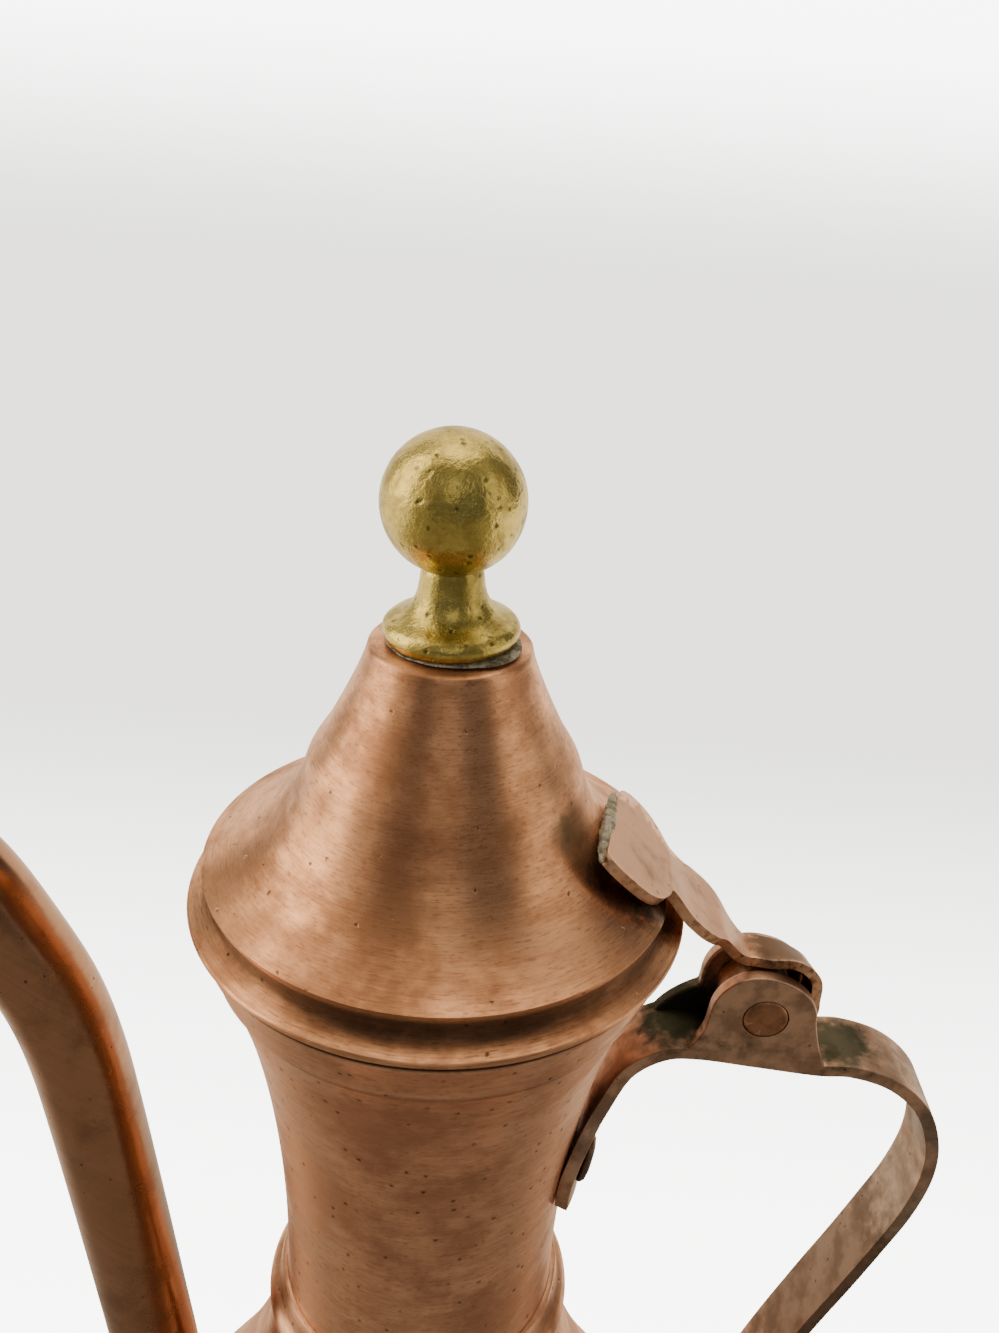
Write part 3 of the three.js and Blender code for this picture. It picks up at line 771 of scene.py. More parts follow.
@dataclass(frozen=True)
class MetalFinish:
    """Copper or brass with working marks, tarnish, pits, worn edges, and rings and zones of another colour,
    some of them painted shade.
    """

    name: str
    clean: Colour
    tarnish: Colour
    pit_and_shade: Colour = (0.05, 0.03, 0.02, 1)
    worn: Colour = (0.9, 0.55, 0.36, 1)
    rough: float = 0.32
    lines: float = 3.0
    reach: float = 3.0
    line_depth: float = 0.012
    tone: float = 0.25
    blotch_size: float = 14.0
    cover: float = 0.45
    tarnish_rough: float = 0.14
    pit_spacing: float = 3.2
    pit_size: float = 0.16
    pit_share: float = 0.4
    pit_depth: float = 0.08
    edge: float = 0.0
    anisotropy: float = 0.0
    dents: float = 0.0
    pebble: float = 0.0
    rings: tuple[tuple[float, float, float, float], ...] = ()
    zones: tuple[Zone, ...] = ()

    def build(self, shop: Workshop) -> bpy.types.Material:
        """Builds the material.

        Args:
            shop: The shared shader groups.

        Returns:
            The material.
        """
        material, graph, shader = start_material(self.name)
        marks = graph.group(shop.lathe, Lines=self.lines, Reach=self.reach)
        blotches = graph.group(shop.blotches, Size=self.blotch_size, Cover=self.cover).outputs[0]
        specks = graph.group(shop.blotches, Size=self.blotch_size / 7, Cover=0.25, Edge=0.05).outputs[0]
        pit_values = {"Spacing": self.pit_spacing, "Size": self.pit_size, "Share": self.pit_share}
        pits = graph.group(shop.pits, **pit_values).outputs[0]
        shaded = graph.times(marks.outputs["Tone"], self.tone)
        colour = graph.mix(shaded, self.clean, self.tarnish)
        colour = graph.mix(graph.times(blotches, 0.7), colour, self.tarnish)
        colour = graph.mix(graph.times(specks, 0.3), colour, self.tarnish)
        rough = graph.plus(self.rough, graph.times(blotches, self.tarnish_rough))
        rough = graph.plus(rough, graph.times(shaded, 0.1))
        # Dark rings in the pits' colour, among them painted shadow in the gaps at the lid's lip.
        for height, half, inside, strength in self.rings:
            ring = graph.group(shop.ring, Height=height, Half=half, Inside=inside).outputs[0]
            ring = graph.times(ring, strength)
            colour = graph.mix(ring, colour, self.pit_and_shade)
            rough = graph.plus(rough, graph.times(ring, 0.2))
        if self.edge:
            worn = graph.times(graph.group(shop.edges).outputs[0], self.edge)
            colour = graph.mix(worn, colour, self.worn)
        # Zones of another colour: tarnish, and painted shade where noted.
        for zone in self.zones:
            x, y, z = zone.centre
            mask = graph.group(shop.ball, X=x, Y=y, Z=z, Radius=zone.radius).outputs[0]
            mask = graph.times(mask, zone.strength)
            colour = graph.mix(mask, colour, zone.colour)
            rough = graph.plus(rough, graph.times(mask, zone.rough))
        colour = graph.mix(graph.times(pits, 0.85), colour, self.pit_and_shade)
        graph.feed(shader.inputs["Base Color"], colour)
        graph.feed(shader.inputs["Roughness"], graph.math("MINIMUM", rough, 0.85))
        shader.inputs["Metallic"].default_value = 1
        self.relief(graph, shader, marks.outputs["Height"], pits)
        if self.anisotropy:
            shader.inputs["Anisotropic"].default_value = self.anisotropy
            shader.inputs["Anisotropic Rotation"].default_value = 0.25
            tangent = graph.node("ShaderNodeTangent", direction_type="RADIAL", axis="Z")
            graph.feed(shader.inputs["Tangent"], tangent.outputs[0])
        return material

    def relief(
        self, graph: Graph, shader: bpy.types.Node, marks: bpy.types.NodeSocket, pits: bpy.types.NodeSocket
    ) -> None:
        """Adds the working marks, dents and pits to the surface.

        Args:
            graph: The material's graph.
            shader: Its Principled BSDF.
            marks: Height of the working marks.
            pits: Mask of the pits.
        """
        swell = graph.noise(graph.place(), 0.12, 2)
        height = graph.times(marks, self.line_depth * MM)
        height = graph.plus(height, graph.times(swell, self.dents * MM))
        height = graph.minus(height, graph.times(pits, self.pit_depth * MM))
        if self.pebble:
            grain = graph.noise(graph.place(), 0.7, 4, 0.62)
            height = graph.plus(height, graph.times(grain, self.pebble * MM))
        bump = graph.node("ShaderNodeBump")
        bump.inputs["Distance"].default_value = 1
        graph.feed(bump.inputs["Height"], height)
        graph.feed(shader.inputs["Normal"], bump.outputs[0])


@dataclass(frozen=True)
class SolderFinish:
    """Granular grey-green solder with brown stains."""

    name: str = "grey solder"
    light: Colour = (0.50, 0.48, 0.38, 1)
    dark: Colour = (0.15, 0.125, 0.085, 1)

    def build(self, shop: Workshop) -> bpy.types.Material:
        """Builds the material from the shared shader groups.

        Args:
            shop: The shared shader groups.

        Returns:
            The material.
        """
        material, graph, shader = start_material(self.name)
        stains = graph.group(shop.blotches, Size=2.2, Cover=0.45).outputs[0]
        grains = graph.group(shop.pits, Spacing=0.5, Size=0.5, Share=0.75).outputs[0]
        colour = graph.mix(stains, self.light, self.dark)
        graph.feed(shader.inputs["Base Color"], graph.mix(graph.times(grains, 0.6), colour, self.dark))
        shader.inputs["Metallic"].default_value = 0.2
        shader.inputs["Roughness"].default_value = 0.62
        bump = graph.node("ShaderNodeBump")
        bump.inputs["Distance"].default_value = 0.12 * MM
        graph.feed(bump.inputs["Height"], graph.minus(1.0, grains))
        graph.feed(shader.inputs["Normal"], bump.outputs[0])
        return material


# Near-black green for verdigris and for painted shade in hollows and in front of the lid's pad.
VERDIGRIS_AND_SHADE = (0.045, 0.055, 0.035, 1)
# Dark oxide, also used as painted shade along the lid's pad and for a dent on the spout.
OXIDE_AND_SHADE = (0.07, 0.05, 0.035, 1)

BODY_COPPER = MetalFinish(
    name="neck and body copper",
    clean=(0.90, 0.52, 0.335, 1),
    tarnish=(0.44, 0.21, 0.12, 1),
    rough=0.3,
    anisotropy=0.8,
    tone=0.65,
    line_depth=0.016,
    dents=0.08,
    pit_spacing=2.4,
    pit_size=0.26,
    pit_share=0.5,
    rings=(
        (BAND - 0.6, 1.0, 30.0, 0.35),
        # Painted shadow in the gap between the lid's lip and the neck's mouth band.
        (RIM + 0.2, 1.1, 36.2, 1.0),
        (SHOULDER + 7.6, 2.2, 0.0, 0.45),
        (SHOULDER + 0.4, 0.9, 26.0, 0.8),
    ),
)
LID_COPPER = MetalFinish(
    name="lid copper",
    clean=(0.90, 0.475, 0.265, 1),
    tarnish=(0.36, 0.165, 0.085, 1),
    rough=0.3,
    anisotropy=0.85,
    tone=0.72,
    line_depth=0.022,
    pit_spacing=2.6,
    dents=0.04,
    # The second ring is painted shadow under the lip's bead; the first darkens the groove and the brim.
    rings=((LIP + 3.1, 2.6, 33.0, 0.75), (LIP - 0.8, 0.6, 36.0, 1.0)),
    zones=(
        # Dark along the pad's front edge on the bell: oxide and the pad's painted shadow.
        Zone((25.5, -14, LIP + 16), 5, OXIDE_AND_SHADE, 0.95),
        Zone((29.5, -15, LIP + 12.5), 4.6, OXIDE_AND_SHADE, 0.9),
        Zone((33.5, -12.5, LIP + 9), 4.8, OXIDE_AND_SHADE, 0.9),
        Zone((20, -13.5, LIP + 21), 3.6, (0.32, 0.28, 0.18, 1), 0.6),
        # Near-black green at the bell's edge in front of the pad: verdigris and the pad's painted shadow.
        Zone((36.5, -9, LIP + 6), 5, VERDIGRIS_AND_SHADE, 0.8),
        Zone((21, -11, LIP + 20), 4, (0.22, 0.12, 0.06, 1), 0.7),
    ),
)
SPOUT_COPPER = MetalFinish(
    name="spout copper",
    clean=(0.42, 0.225, 0.135, 1),
    tarnish=(0.23, 0.115, 0.065, 1),
    rough=0.21,
    tone=0.3,
    line_depth=0.006,
    cover=0.35,
    dents=0.12,
    pit_spacing=2.6,
    # A dark spot on the spout's bend: painted shade of a small dent.
    zones=(Zone((-67, -4, 226), 1.6, OXIDE_AND_SHADE, 0.9),),
)
STRAP_COPPER = MetalFinish(
    name="strap copper",
    clean=(0.58, 0.37, 0.265, 1),
    tarnish=(0.24, 0.145, 0.10, 1),
    rough=0.34,
    line_depth=0.0,
    tone=0.15,
    blotch_size=6,
    cover=0.45,
    edge=0.5,
    dents=0.25,
    pit_spacing=2.2,
    zones=(
        # Near-black green round the hinge: verdigris and painted shade in the hollows between the ears and
        # under the knuckle.
        Zone((PIN[0] - 4, 0, PIN[1] - 6), 5.4, VERDIGRIS_AND_SHADE, 0.95, 0.3),
        Zone((41.5, 2, 214), 8, VERDIGRIS_AND_SHADE, 0.97, 0.3),
        Zone((69, 0, 211.5), 6.4, VERDIGRIS_AND_SHADE, 0.9, 0.25),
        Zone((86.5, 0, 197), 9, (0.16, 0.15, 0.12, 1), 0.6, 0.1),
        Zone((88, 0, 176), 12, (0.26, 0.24, 0.20, 1), 0.5, 0.1),
        Zone((77, 0, 150), 27, (0.15, 0.10, 0.07, 1), 0.85, 0.05),
    ),
)
LID_STRAP_COPPER = MetalFinish(
    name="lid strap copper",
    clean=(0.50, 0.255, 0.145, 1),
    tarnish=(0.29, 0.14, 0.075, 1),
    rough=0.33,
    line_depth=0.0,
    tone=0.15,
    blotch_size=7,
    cover=0.28,
    pit_share=0.6,
    edge=0.9,
    dents=0.2,
    pit_spacing=2.4,
    zones=(
        Zone((PIN[0] + 2, 1, PIN[1] + 9), 5.5, OXIDE_AND_SHADE, 0.8, 0.2),
        Zone((PIN[0], 0, PIN[1]), 6.5, OXIDE_AND_SHADE, 0.8, 0.2),
    ),
)
DARK_COPPER = MetalFinish(
    name="dark copper",
    clean=(0.40, 0.20, 0.115, 1),
    tarnish=(0.17, 0.08, 0.045, 1),
    rough=0.4,
    line_depth=0.0,
    blotch_size=5,
    dents=0.1,
    edge=0.4,
)
RIVET_COPPER = MetalFinish(
    name="blackened rivet copper",
    clean=(0.15, 0.095, 0.065, 1),
    tarnish=(0.06, 0.045, 0.035, 1),
    rough=0.38,
    line_depth=0.0,
    blotch_size=3,
    dents=0.1,
)
BRASS = MetalFinish(
    name="cast brass",
    clean=(0.68, 0.55, 0.155, 1),
    tarnish=(0.28, 0.205, 0.05, 1),
    pit_and_shade=(0.05, 0.035, 0.01, 1),
    worn=(0.9, 0.76, 0.34, 1),
    rough=0.24,
    lines=1.2,
    reach=2.0,
    line_depth=0.01,
    tone=0.35,
    blotch_size=5,
    cover=0.42,
    pit_spacing=1.7,
    pit_size=0.34,
    pit_share=0.4,
    pit_depth=0.1,
    dents=0.3,
    pebble=0.18,
)


# The vessel


@dataclass
class Belly:
    """Foot, bowl and upper body."""

    base_radius: float = 46
    foot_width: float = 4.2
    foot_height: float = 6.6

    def build(self, copper: bpy.types.Material, cutters: Callable[[], list[bpy.types.Object]]) -> None:
        """Turns the body's pieces.

        Args:
            copper: Their material.
            cutters: Makes the tools that open the upper body for the spout and the rivets.
        """
        rim = self.base_radius
        base = turn_on_lathe("base", [(0, 0), (rim, 0), (rim, SHEET), (0, SHEET)], 96)
        ring_inner = rim + SEAM
        half = self.foot_height / 2
        ring = turn_on_lathe("foot", arc((ring_inner, half), (self.foot_width, half), -90, 90, 20))
        bowl = turn_on_lathe("bowl", BOWL_OUTER + offset(BOWL_OUTER, -SHEET)[::-1])
        upper = turn_on_lathe("upper_shell", BODY_OUTER + offset(BODY_OUTER, -SHEET)[::-1])
        for cutter in cutters():
            combine(upper, cutter, "DIFFERENCE")
        pieces = ((base, "base_plate"), (ring, "foot_ring"), (bowl, "lower_bowl"), (upper, "upper_body"))
        for piece, node in pieces:
            shade(piece)
            settle(piece, node, Body.VESSEL, copper)


@dataclass
class Neck:
    """Waisted neck with its mouth band, and the collar at its foot."""

    mouth_radius: float = 37.6
    flare_radius: float = 34.6
    band_step: float = 0.4
    foot_radius: float = 25
    collar_radius: float = 28.1
    collar_bead: float = 3.2
    collar_top: float = 10.2

    def build(self, copper: bpy.types.Material, cutter: bpy.types.Object) -> None:
        """Turns the neck and its collar.

        Args:
            copper: Their material.
            cutter: The tool that opens the neck for its rivet.
        """
        mouth, flare = self.mouth_radius, self.flare_radius
        band = [
            (mouth - 0.5, RIM),
            (mouth - 0.15, RIM - 0.1),
            (mouth, RIM - 0.4),
            (mouth - 0.05, RIM - 1.1),
            (mouth - 0.5, RIM - 1.9),
            (mouth - 1.1, BAND + 4.6),
            (flare + self.band_step * 2, BAND + 2.2),
            (flare + self.band_step * 1.3, BAND + 0.8),
            (flare + self.band_step, BAND + 0.3),
            (flare + self.band_step * 0.3, BAND + 0.05),
        ]
        inner = offset(NECK_OUTER, -SHEET)[::-1]
        lining = [(flare - SHEET, BAND + 1.6), (mouth - SHEET - 0.3, RIM)]
        neck = turn_on_lathe("neck", band + NECK_OUTER + inner + lining, 192)
        combine(neck, cutter, "DIFFERENCE")
        foot, top = SHOULDER + SEAM, SHOULDER + self.collar_top
        inside, centre = self.foot_radius + SEAM, SHOULDER + SEAM + self.collar_bead
        bead = (self.collar_radius - inside, self.collar_bead)
        profile = [(24.95, foot)] + arc((inside, centre), bead, -90, 48, 24)
        profile += [(26.4, centre + 2.8), (26.15, centre + 3.9), (25.95, top - 1.2), (25.6, top - 0.2)]
        profile += [(25.2, top), (24.76, top)]
        collar = turn_on_lathe("collar", profile, 192)
        for piece, node in ((neck, "neck_tube"), (collar, "neck_collar")):
            shade(piece)
            settle(piece, node, Body.VESSEL, copper)


@dataclass
class Spout:
    """Gooseneck spout, tapered from its root and a little wider at its mouth."""

    radius: float = 8
    root_radius: float = 9.4
    mouth_radius: float = 8.3
    root_end: float = 0.3
    mouth_start: float = 0.9
    wall: float = 1.2
    bore_reach: float = 2
    sides: int = 56
    steps: int = 150
    knots: tuple[tuple[float, float], ...] = (
        (-44, 85),
        (-49, 97),
        (-51.4, 110),
        (-52.4, 124),
        (-54.3, 143),
        (-56.4, 163),
        (-58.6, 183),
        (-60.6, 198),
        (-63.5, 210),
        (-68, 220.5),
        (-74.6, 232.8),
        (-82.2, 241.4),
        (-90.4, 248.6),
    )

    def outer_radius(self, share: float) -> float:
        """The outer radius at a share of the spout's length.

        Args:
            share: Share of the length, from the root.

        Returns:
            The radius.
        """
        past_root = smooth(share, 0, self.root_end)
        at_mouth = smooth(share, self.mouth_start, 1)
        bar = self.root_radius + (self.radius - self.root_radius) * past_root
        return bar + (self.mouth_radius - self.radius) * at_mouth

    def tube(self, name: str, inset: float, steps: int) -> bpy.types.Object:
        """A closed bar along the spout, set in from its outside.

        Args:
            name: Name of the bar.
            inset: Distance from the spout's outside.
            steps: Steps along it.

        Returns:
            The bar, extruded straight and then bent.
        """
        line = spline(self.knots, steps)
        deselect()
        bpy.ops.mesh.primitive_circle_add(vertices=self.sides, radius=1, fill_type="NGON")
        bar = named(name)
        edit_all()
        for _ in range(steps):
            bpy.ops.mesh.extrude_region_move(TRANSFORM_OT_translate={"value": (0, 0, 1)})
        bpy.ops.object.mode_set(mode="OBJECT")
        for vertex in bar.data.vertices:
            place = round(vertex.co.z)
            before, after = line[max(place - 1, 0)], line[min(place + 1, steps)]
            along = Vector((after[0] - before[0], after[1] - before[1])).normalized()
            reach = self.outer_radius(place / steps) - inset
            across = vertex.co.x * reach
            x, z = line[place]
            vertex.co = Vector((x - along.y * across, vertex.co.y * reach, z + along.x * across)) * MM
        bar.data.update()
        tidy_faces(bar)
        return bar

    def build(self, copper: bpy.types.Material, filled_body: bpy.types.Object) -> None:
        """Makes the tube and trims it to the body.

        Args:
            copper: Its material.
            filled_body: The space of the body, which the spout's root is cut to.
        """
        spout = self.tube("spout", 0, self.steps)
        combine(spout, self.bore(), "DIFFERENCE")
        combine(spout, filled_body, "DIFFERENCE")
        shade(spout)
        settle(spout, "spout_tube", Body.VESSEL, copper)

    def bore(self) -> bpy.types.Object:
        """The spout's bore as a solid, a little longer than the spout.

        Returns:
            The bore.
        """
        bore = self.tube("bore", self.wall, self.steps)
        (root_x, root_z), (next_x, next_z) = self.knots[:2]
        (last_x, last_z), (mouth_x, mouth_z) = self.knots[-2:]
        root, mouth = Vector((root_x, 0, root_z)), Vector((mouth_x, 0, mouth_z))
        first = Vector((root_x - next_x, 0, root_z - next_z)).normalized()
        last = Vector((mouth_x - last_x, 0, mouth_z - last_z)).normalized()

        def lengthen(point: Vector) -> Vector:
            """Moves the bore's two ends out.

            Args:
                point: A point of the bore.

            Returns:
                Its new place.
            """
            if (point - mouth).dot(last) > -0.4:
                return point + last * self.bore_reach
            if (point - root).dot(first) > -0.4:
                return point + first * self.bore_reach
            return point

        move_points(bore, lengthen)
        return bore


@dataclass
class Handle:
    """Strap handle with two hinge ears folded up from it, its pin and its rivets."""

    width: float = 11.9
    thickness: float = 2.3
    tab_drop: float = 50.5
    tab_length: float = 7.2
    tab_lifts: tuple[float, float, float, float] = (-0.1, -0.2, -0.12, 0.5)
    foot_height: float = 81
    foot_length: float = 15
    foot_bend: float = 0.5
    slot: float = 7.2
    dome: tuple[float, float, float, float] = (-1.6, 7.4, 9.9, 8.15)
    near_heel: tuple[float, float, float] = (13, -9.8, -6)
    far_heel: tuple[float, float, float] = (16.2, -14.2, -4.6)
    ear_round: float = 0.45
    edge_round: float = 0.4
    bed_depth: float = 9.55
    bed_floor: float = 1.05
    pin_radius: float = 3.2
    pin_head: float = 3.55
    clearance: float = 0.3
    rivet_radius: float = 1.6
    neck_rivet_head: tuple[float, float] = (4.2, 1.4)
    foot_rivet_head: tuple[float, float] = (3.4, 1.3)
    foot_rivets: tuple[float, float] = (4.5, 11.5)
    rows: int = 300
    columns: int = 8
    bow: tuple[tuple[float, float], ...] = (
        (-23.8, -11.3),
        (-20.6, -4),
        (-15.5, 0.15),
        (-9.8, 1),
        (0.2, 0.05),
        (10.2, -0.95),
        (16.5, -0.95),
        (23.7, -3.4),
        (29.6, -8.8),
        (32.88, -16.5),
        (33.57, -24.5),
        (32, -33.5),
        (29, -42.5),
        (25.2, -53),
        (20.4, -65.5),
        (13.7, -84.5),
    )

    def foot_at(self, distance: float, lift: float) -> tuple[tuple[float, float], tuple[float, float]]:
        """A point of the handle's foot and the wall's normal, a distance below its top and off the wall.

        Args:
            distance: How far below the foot's top it lies.
            lift: How far off the wall it lies.

        Returns:
            The point and the wall's normal.
        """
        fall = wall_at(BODY_OUTER, self.foot_height)[1][0]
        height = self.foot_height - distance * fall
        radius, normal = wall_at(BODY_OUTER, height)
        return (radius + normal[0] * lift, height + normal[1] * lift), normal

    def line(self) -> list[tuple[float, ...]]:
        """The strap's middle line from the neck's tab to the foot.

        Returns:
            Its points, one for each row of the strap.
        """
        half = self.thickness / 2
        tab = []
        for step, lift in zip((1, 0.45, 0, -1), self.tab_lifts):
            height = LIP - self.tab_drop - step * self.tab_length
            tab.append((wall_at(NECK_OUTER, height)[0] + SEAM + half + lift, height))
        below = self.bed_depth + self.bed_floor - half
        bow = [(PIN[0] + x, PIN[1] - below + z) for x, z in self.bow]
        lift = SEAM + half
        third = self.foot_length / 3
        foot = [self.foot_at(0, lift + self.foot_bend)[0]]
        foot += [self.foot_at(third * i, lift)[0] for i in (1, 2, 3)]
        lead = (foot[0][0] + 2.2, foot[0][1] + 8.5)
        return spline(tab + bow + [lead] + foot, self.rows)

    def strap(self) -> bpy.types.Object:
        """The strap bent from a flat blank, wrapped to the neck at its tab.

        Returns:
            The strap, without its ears.
        """
        line = self.line()
        rows = []
        for i, (x, z) in enumerate(line):
            wrap = 1 - smooth(i / self.rows, 0.08, 0.2)
            row = []
            for j in range(self.columns + 1):
                y = (j / self.columns - 0.5) * self.width
                angle = WAIST_TURN + y / x
                flat = Vector((x, y, z))
                wrapped = Vector((x * math.cos(angle), x * math.sin(angle), z))
                row.append(flat.lerp(wrapped, wrap))
            rows.append(row)
        strap = sheet_blank("handle", rows)
        apply_modifier(strap, "SOLIDIFY", thickness=self.thickness * MM, offset=0, use_even_offset=True)
        round_edges(strap, self.edge_round)
        tidy_faces(strap)
        return strap

    def ear_outline(self, reach: float, bend: tuple[float, float]) -> Outline:
        """Outline of an ear, seen from the front.

        Args:
            reach: How far its heel runs out in front of the pin.
            bend: Where the heel's curve bends, from the pin.

        Returns:
            Corners of X and Z.
        """
        px, pz = PIN
        base = pz - (self.bed_depth + self.bed_floor - self.thickness / 2)
        apex, front, back, height = self.dome
        dome_x = px + apex
        tip, knee = (px - reach, base + 0.9), (px + bend[0], pz + bend[1])
        top = (dome_x - front - 0.2, pz - 2)
        heel = bezier(tip, between(tip, knee, 2 / 3), between(top, knee, 2 / 3), top, 12)
        dome = arc((dome_x, pz), (front, height), 180, 90, 20)
        dome += arc((dome_x, pz), (back, height), 90, 0, 26)[1:]
        knee, sole = (px + 9.2, pz - 4.9), (px + 11.3, base + 0.1)
        toe = bezier(dome[-1], between(dome[-1], knee, 2 / 3), between(sole, knee, 2 / 3), sole, 10)[1:]
        under = [(px + 11.3, base - 1.2), (px + 10, base - 1.8), (px + 5, base - 1.35), (px, base - 0.9)]
        return heel + dome + toe + under + [(px - 6, base - 0.3), (px - 10.5, base + 0.2)]

    def rivet(self, name: str, head: float, height: float) -> bpy.types.Object:
        """A rivet that stands on Z = 0, the strap's outer face, with its shank going down.

        Args:
            name: Name of the rivet.
            head: Radius of its head.
            height: Height of its head.

        Returns:
            The rivet.
        """
        grip = self.thickness + SEAM + SHEET + SEAM * 1.5
        top = 0.05 + height
        profile = [(0, top), (head * 0.6, top - height * 0.06), (head * 0.86, top - height * 0.25)]
        profile += [(head - 0.1, top - height * 0.6), (head, 0.25), (head - 0.15, 0.05)]
        profile += [(self.rivet_radius, 0.05), (self.rivet_radius, -grip), (2.8, -grip)]
        profile += [(2.4, -grip - 0.7), (1.6, -grip - 0.9), (0, -grip - 0.9)]
        return turn_on_lathe(name, profile, 40)

    def rivet_frames(self) -> list[Matrix]:
        """Where the neck's and the foot's rivets stand: place and outward direction.

        Returns:
            The frames, the neck's rivet first.
        """
        lift = SEAM + self.thickness
        height = LIP - self.tab_drop
        line = self.line()
        near = min(range(self.rows // 2), key=lambda i: abs(line[i][1] - height))
        before, seat, after = line[near - 2], line[near], line[near + 2]
        along = Vector((after[0] - before[0], after[1] - before[1])).normalized()
        normal, half = (along.y, -along.x), self.thickness / 2
        spots = [((seat[0] + normal[0] * half, seat[1] + normal[1] * half), normal, WAIST_TURN)]
        spots += [(*self.foot_at(distance, lift), 0) for distance in self.foot_rivets]
        frames = []
        for (x, z), (nx, nz), turn in spots:
            lean = Vector((0, 0, 1)).rotation_difference(Vector((nx, 0, nz))).to_matrix().to_4x4()
            frames.append(Matrix.Rotation(turn, 4, "Z") @ Matrix.Translation((x, 0, z)) @ lean)
        return frames

    def rivet_hole(self, frame: Matrix) -> bpy.types.Object:
        """A tool that cuts a rivet's hole.

        Args:
            frame: Where the rivet stands.

        Returns:
            The tool.
        """
        reach = self.rivet_radius + self.clearance
        hole = turn_on_lathe("hole", [(0, 6), (reach, 6), (reach, -6), (0, -6)], 32)
        return place_by(hole, frame)

    def body_cutters(self, spout: Spout) -> list[bpy.types.Object]:
        """The tools that open the upper body."""
        return [spout.bore()] + [self.rivet_hole(frame) for frame in self.rivet_frames()[1:]]

    def pin_outline(self, grow: float) -> Outline:
        """Outline of the pin along Y, or of its hole, grown by the clearance.

        Args:
            grow: The clearance, or 0 for the pin.

        Returns:
            Its points of radius and height.
        """
        end = self.width / 2 + grow
        radius, head = self.pin_radius + grow, self.pin_head + grow
        half = [(radius, end - 0.9), (head, end - 0.05)]
        if grow:
            half.append((0, end + 1))
        else:
            half += [(head - 0.12, end + 0.1), (head * 0.8, end + 0.3), (head * 0.4, end + 0.42)]
            half.append((0, end + 0.44))
        return [(x, -y) for x, y in reversed(half)] + half

    def pin(self, name: str, grow: float) -> bpy.types.Object:
        """The hinge pin, or the tool for its hole.

        Args:
            name: Name of the piece.
            grow: The clearance, or 0 for the pin.

        Returns:
            The pin or the tool.
        """
        upright = turn_on_lathe(name, self.pin_outline(grow), 64)
        along = Matrix.Translation((PIN[0], 0, PIN[1])) @ Matrix.Rotation(math.radians(-90), 4, "X")
        return place_by(upright, along)

    def bed_tool(self) -> bpy.types.Object:
        """The tool that thins the strap's bed between the ears.

        Returns:
            The tool.
        """
        px, pz = PIN
        corners = [(px - 10.6, pz - self.bed_depth / 2), (px - 7.2, pz - self.bed_depth)]
        corners += [(px + 8.6, pz - self.bed_depth), (px + 12.4, pz - self.bed_depth / 2)]
        return plate("bed", corners, -self.slot / 2, self.slot / 2)

    def build(
        self, copper: bpy.types.Material, dark: bpy.types.Material, rivet_copper: bpy.types.Material
    ) -> None:
        """Makes the strap with its ears, the pin and the rivets.

        Args:
            copper: Material of the strap.
            dark: Material of the pin.
            rivet_copper: Material of the rivets.
        """
        strap = self.strap()
        outer, inner = self.width / 2, self.slot / 2
        ears = ((-outer, -inner, self.near_heel), (inner, outer, self.far_heel))
        for low, high, (reach, *bend) in ears:
            ear = plate("ear", self.ear_outline(reach, tuple(bend)), low, high, self.ear_round)
            combine(strap, ear, "UNION")
        combine(strap, self.bed_tool(), "DIFFERENCE")
        combine(strap, self.pin("pin_hole", self.clearance), "DIFFERENCE")
        frames = self.rivet_frames()
        for frame in frames:
            combine(strap, self.rivet_hole(frame), "DIFFERENCE")
        tidy_faces(strap)
        shade(strap, 30)
        apply_modifier(strap, "WEIGHTED_NORMAL", keep_sharp=True)
        settle(strap, "handle_strap", Body.VESSEL, copper)
        pin = self.pin("pin", 0)
        shade(pin)
        settle(pin, "hinge_pin", Body.VESSEL, dark)
        heads = (
            ("neck_rivet", *self.neck_rivet_head),
            ("handle_rivet_upper", *self.foot_rivet_head),
            ("handle_rivet_lower", *self.foot_rivet_head),
        )
        for (node, head, height), frame in zip(heads, frames):
            rivet = place_by(self.rivet(f"{node}_head", head, height), frame)
            shade(rivet)
            settle(rivet, node, Body.VESSEL, rivet_copper)


# The lid


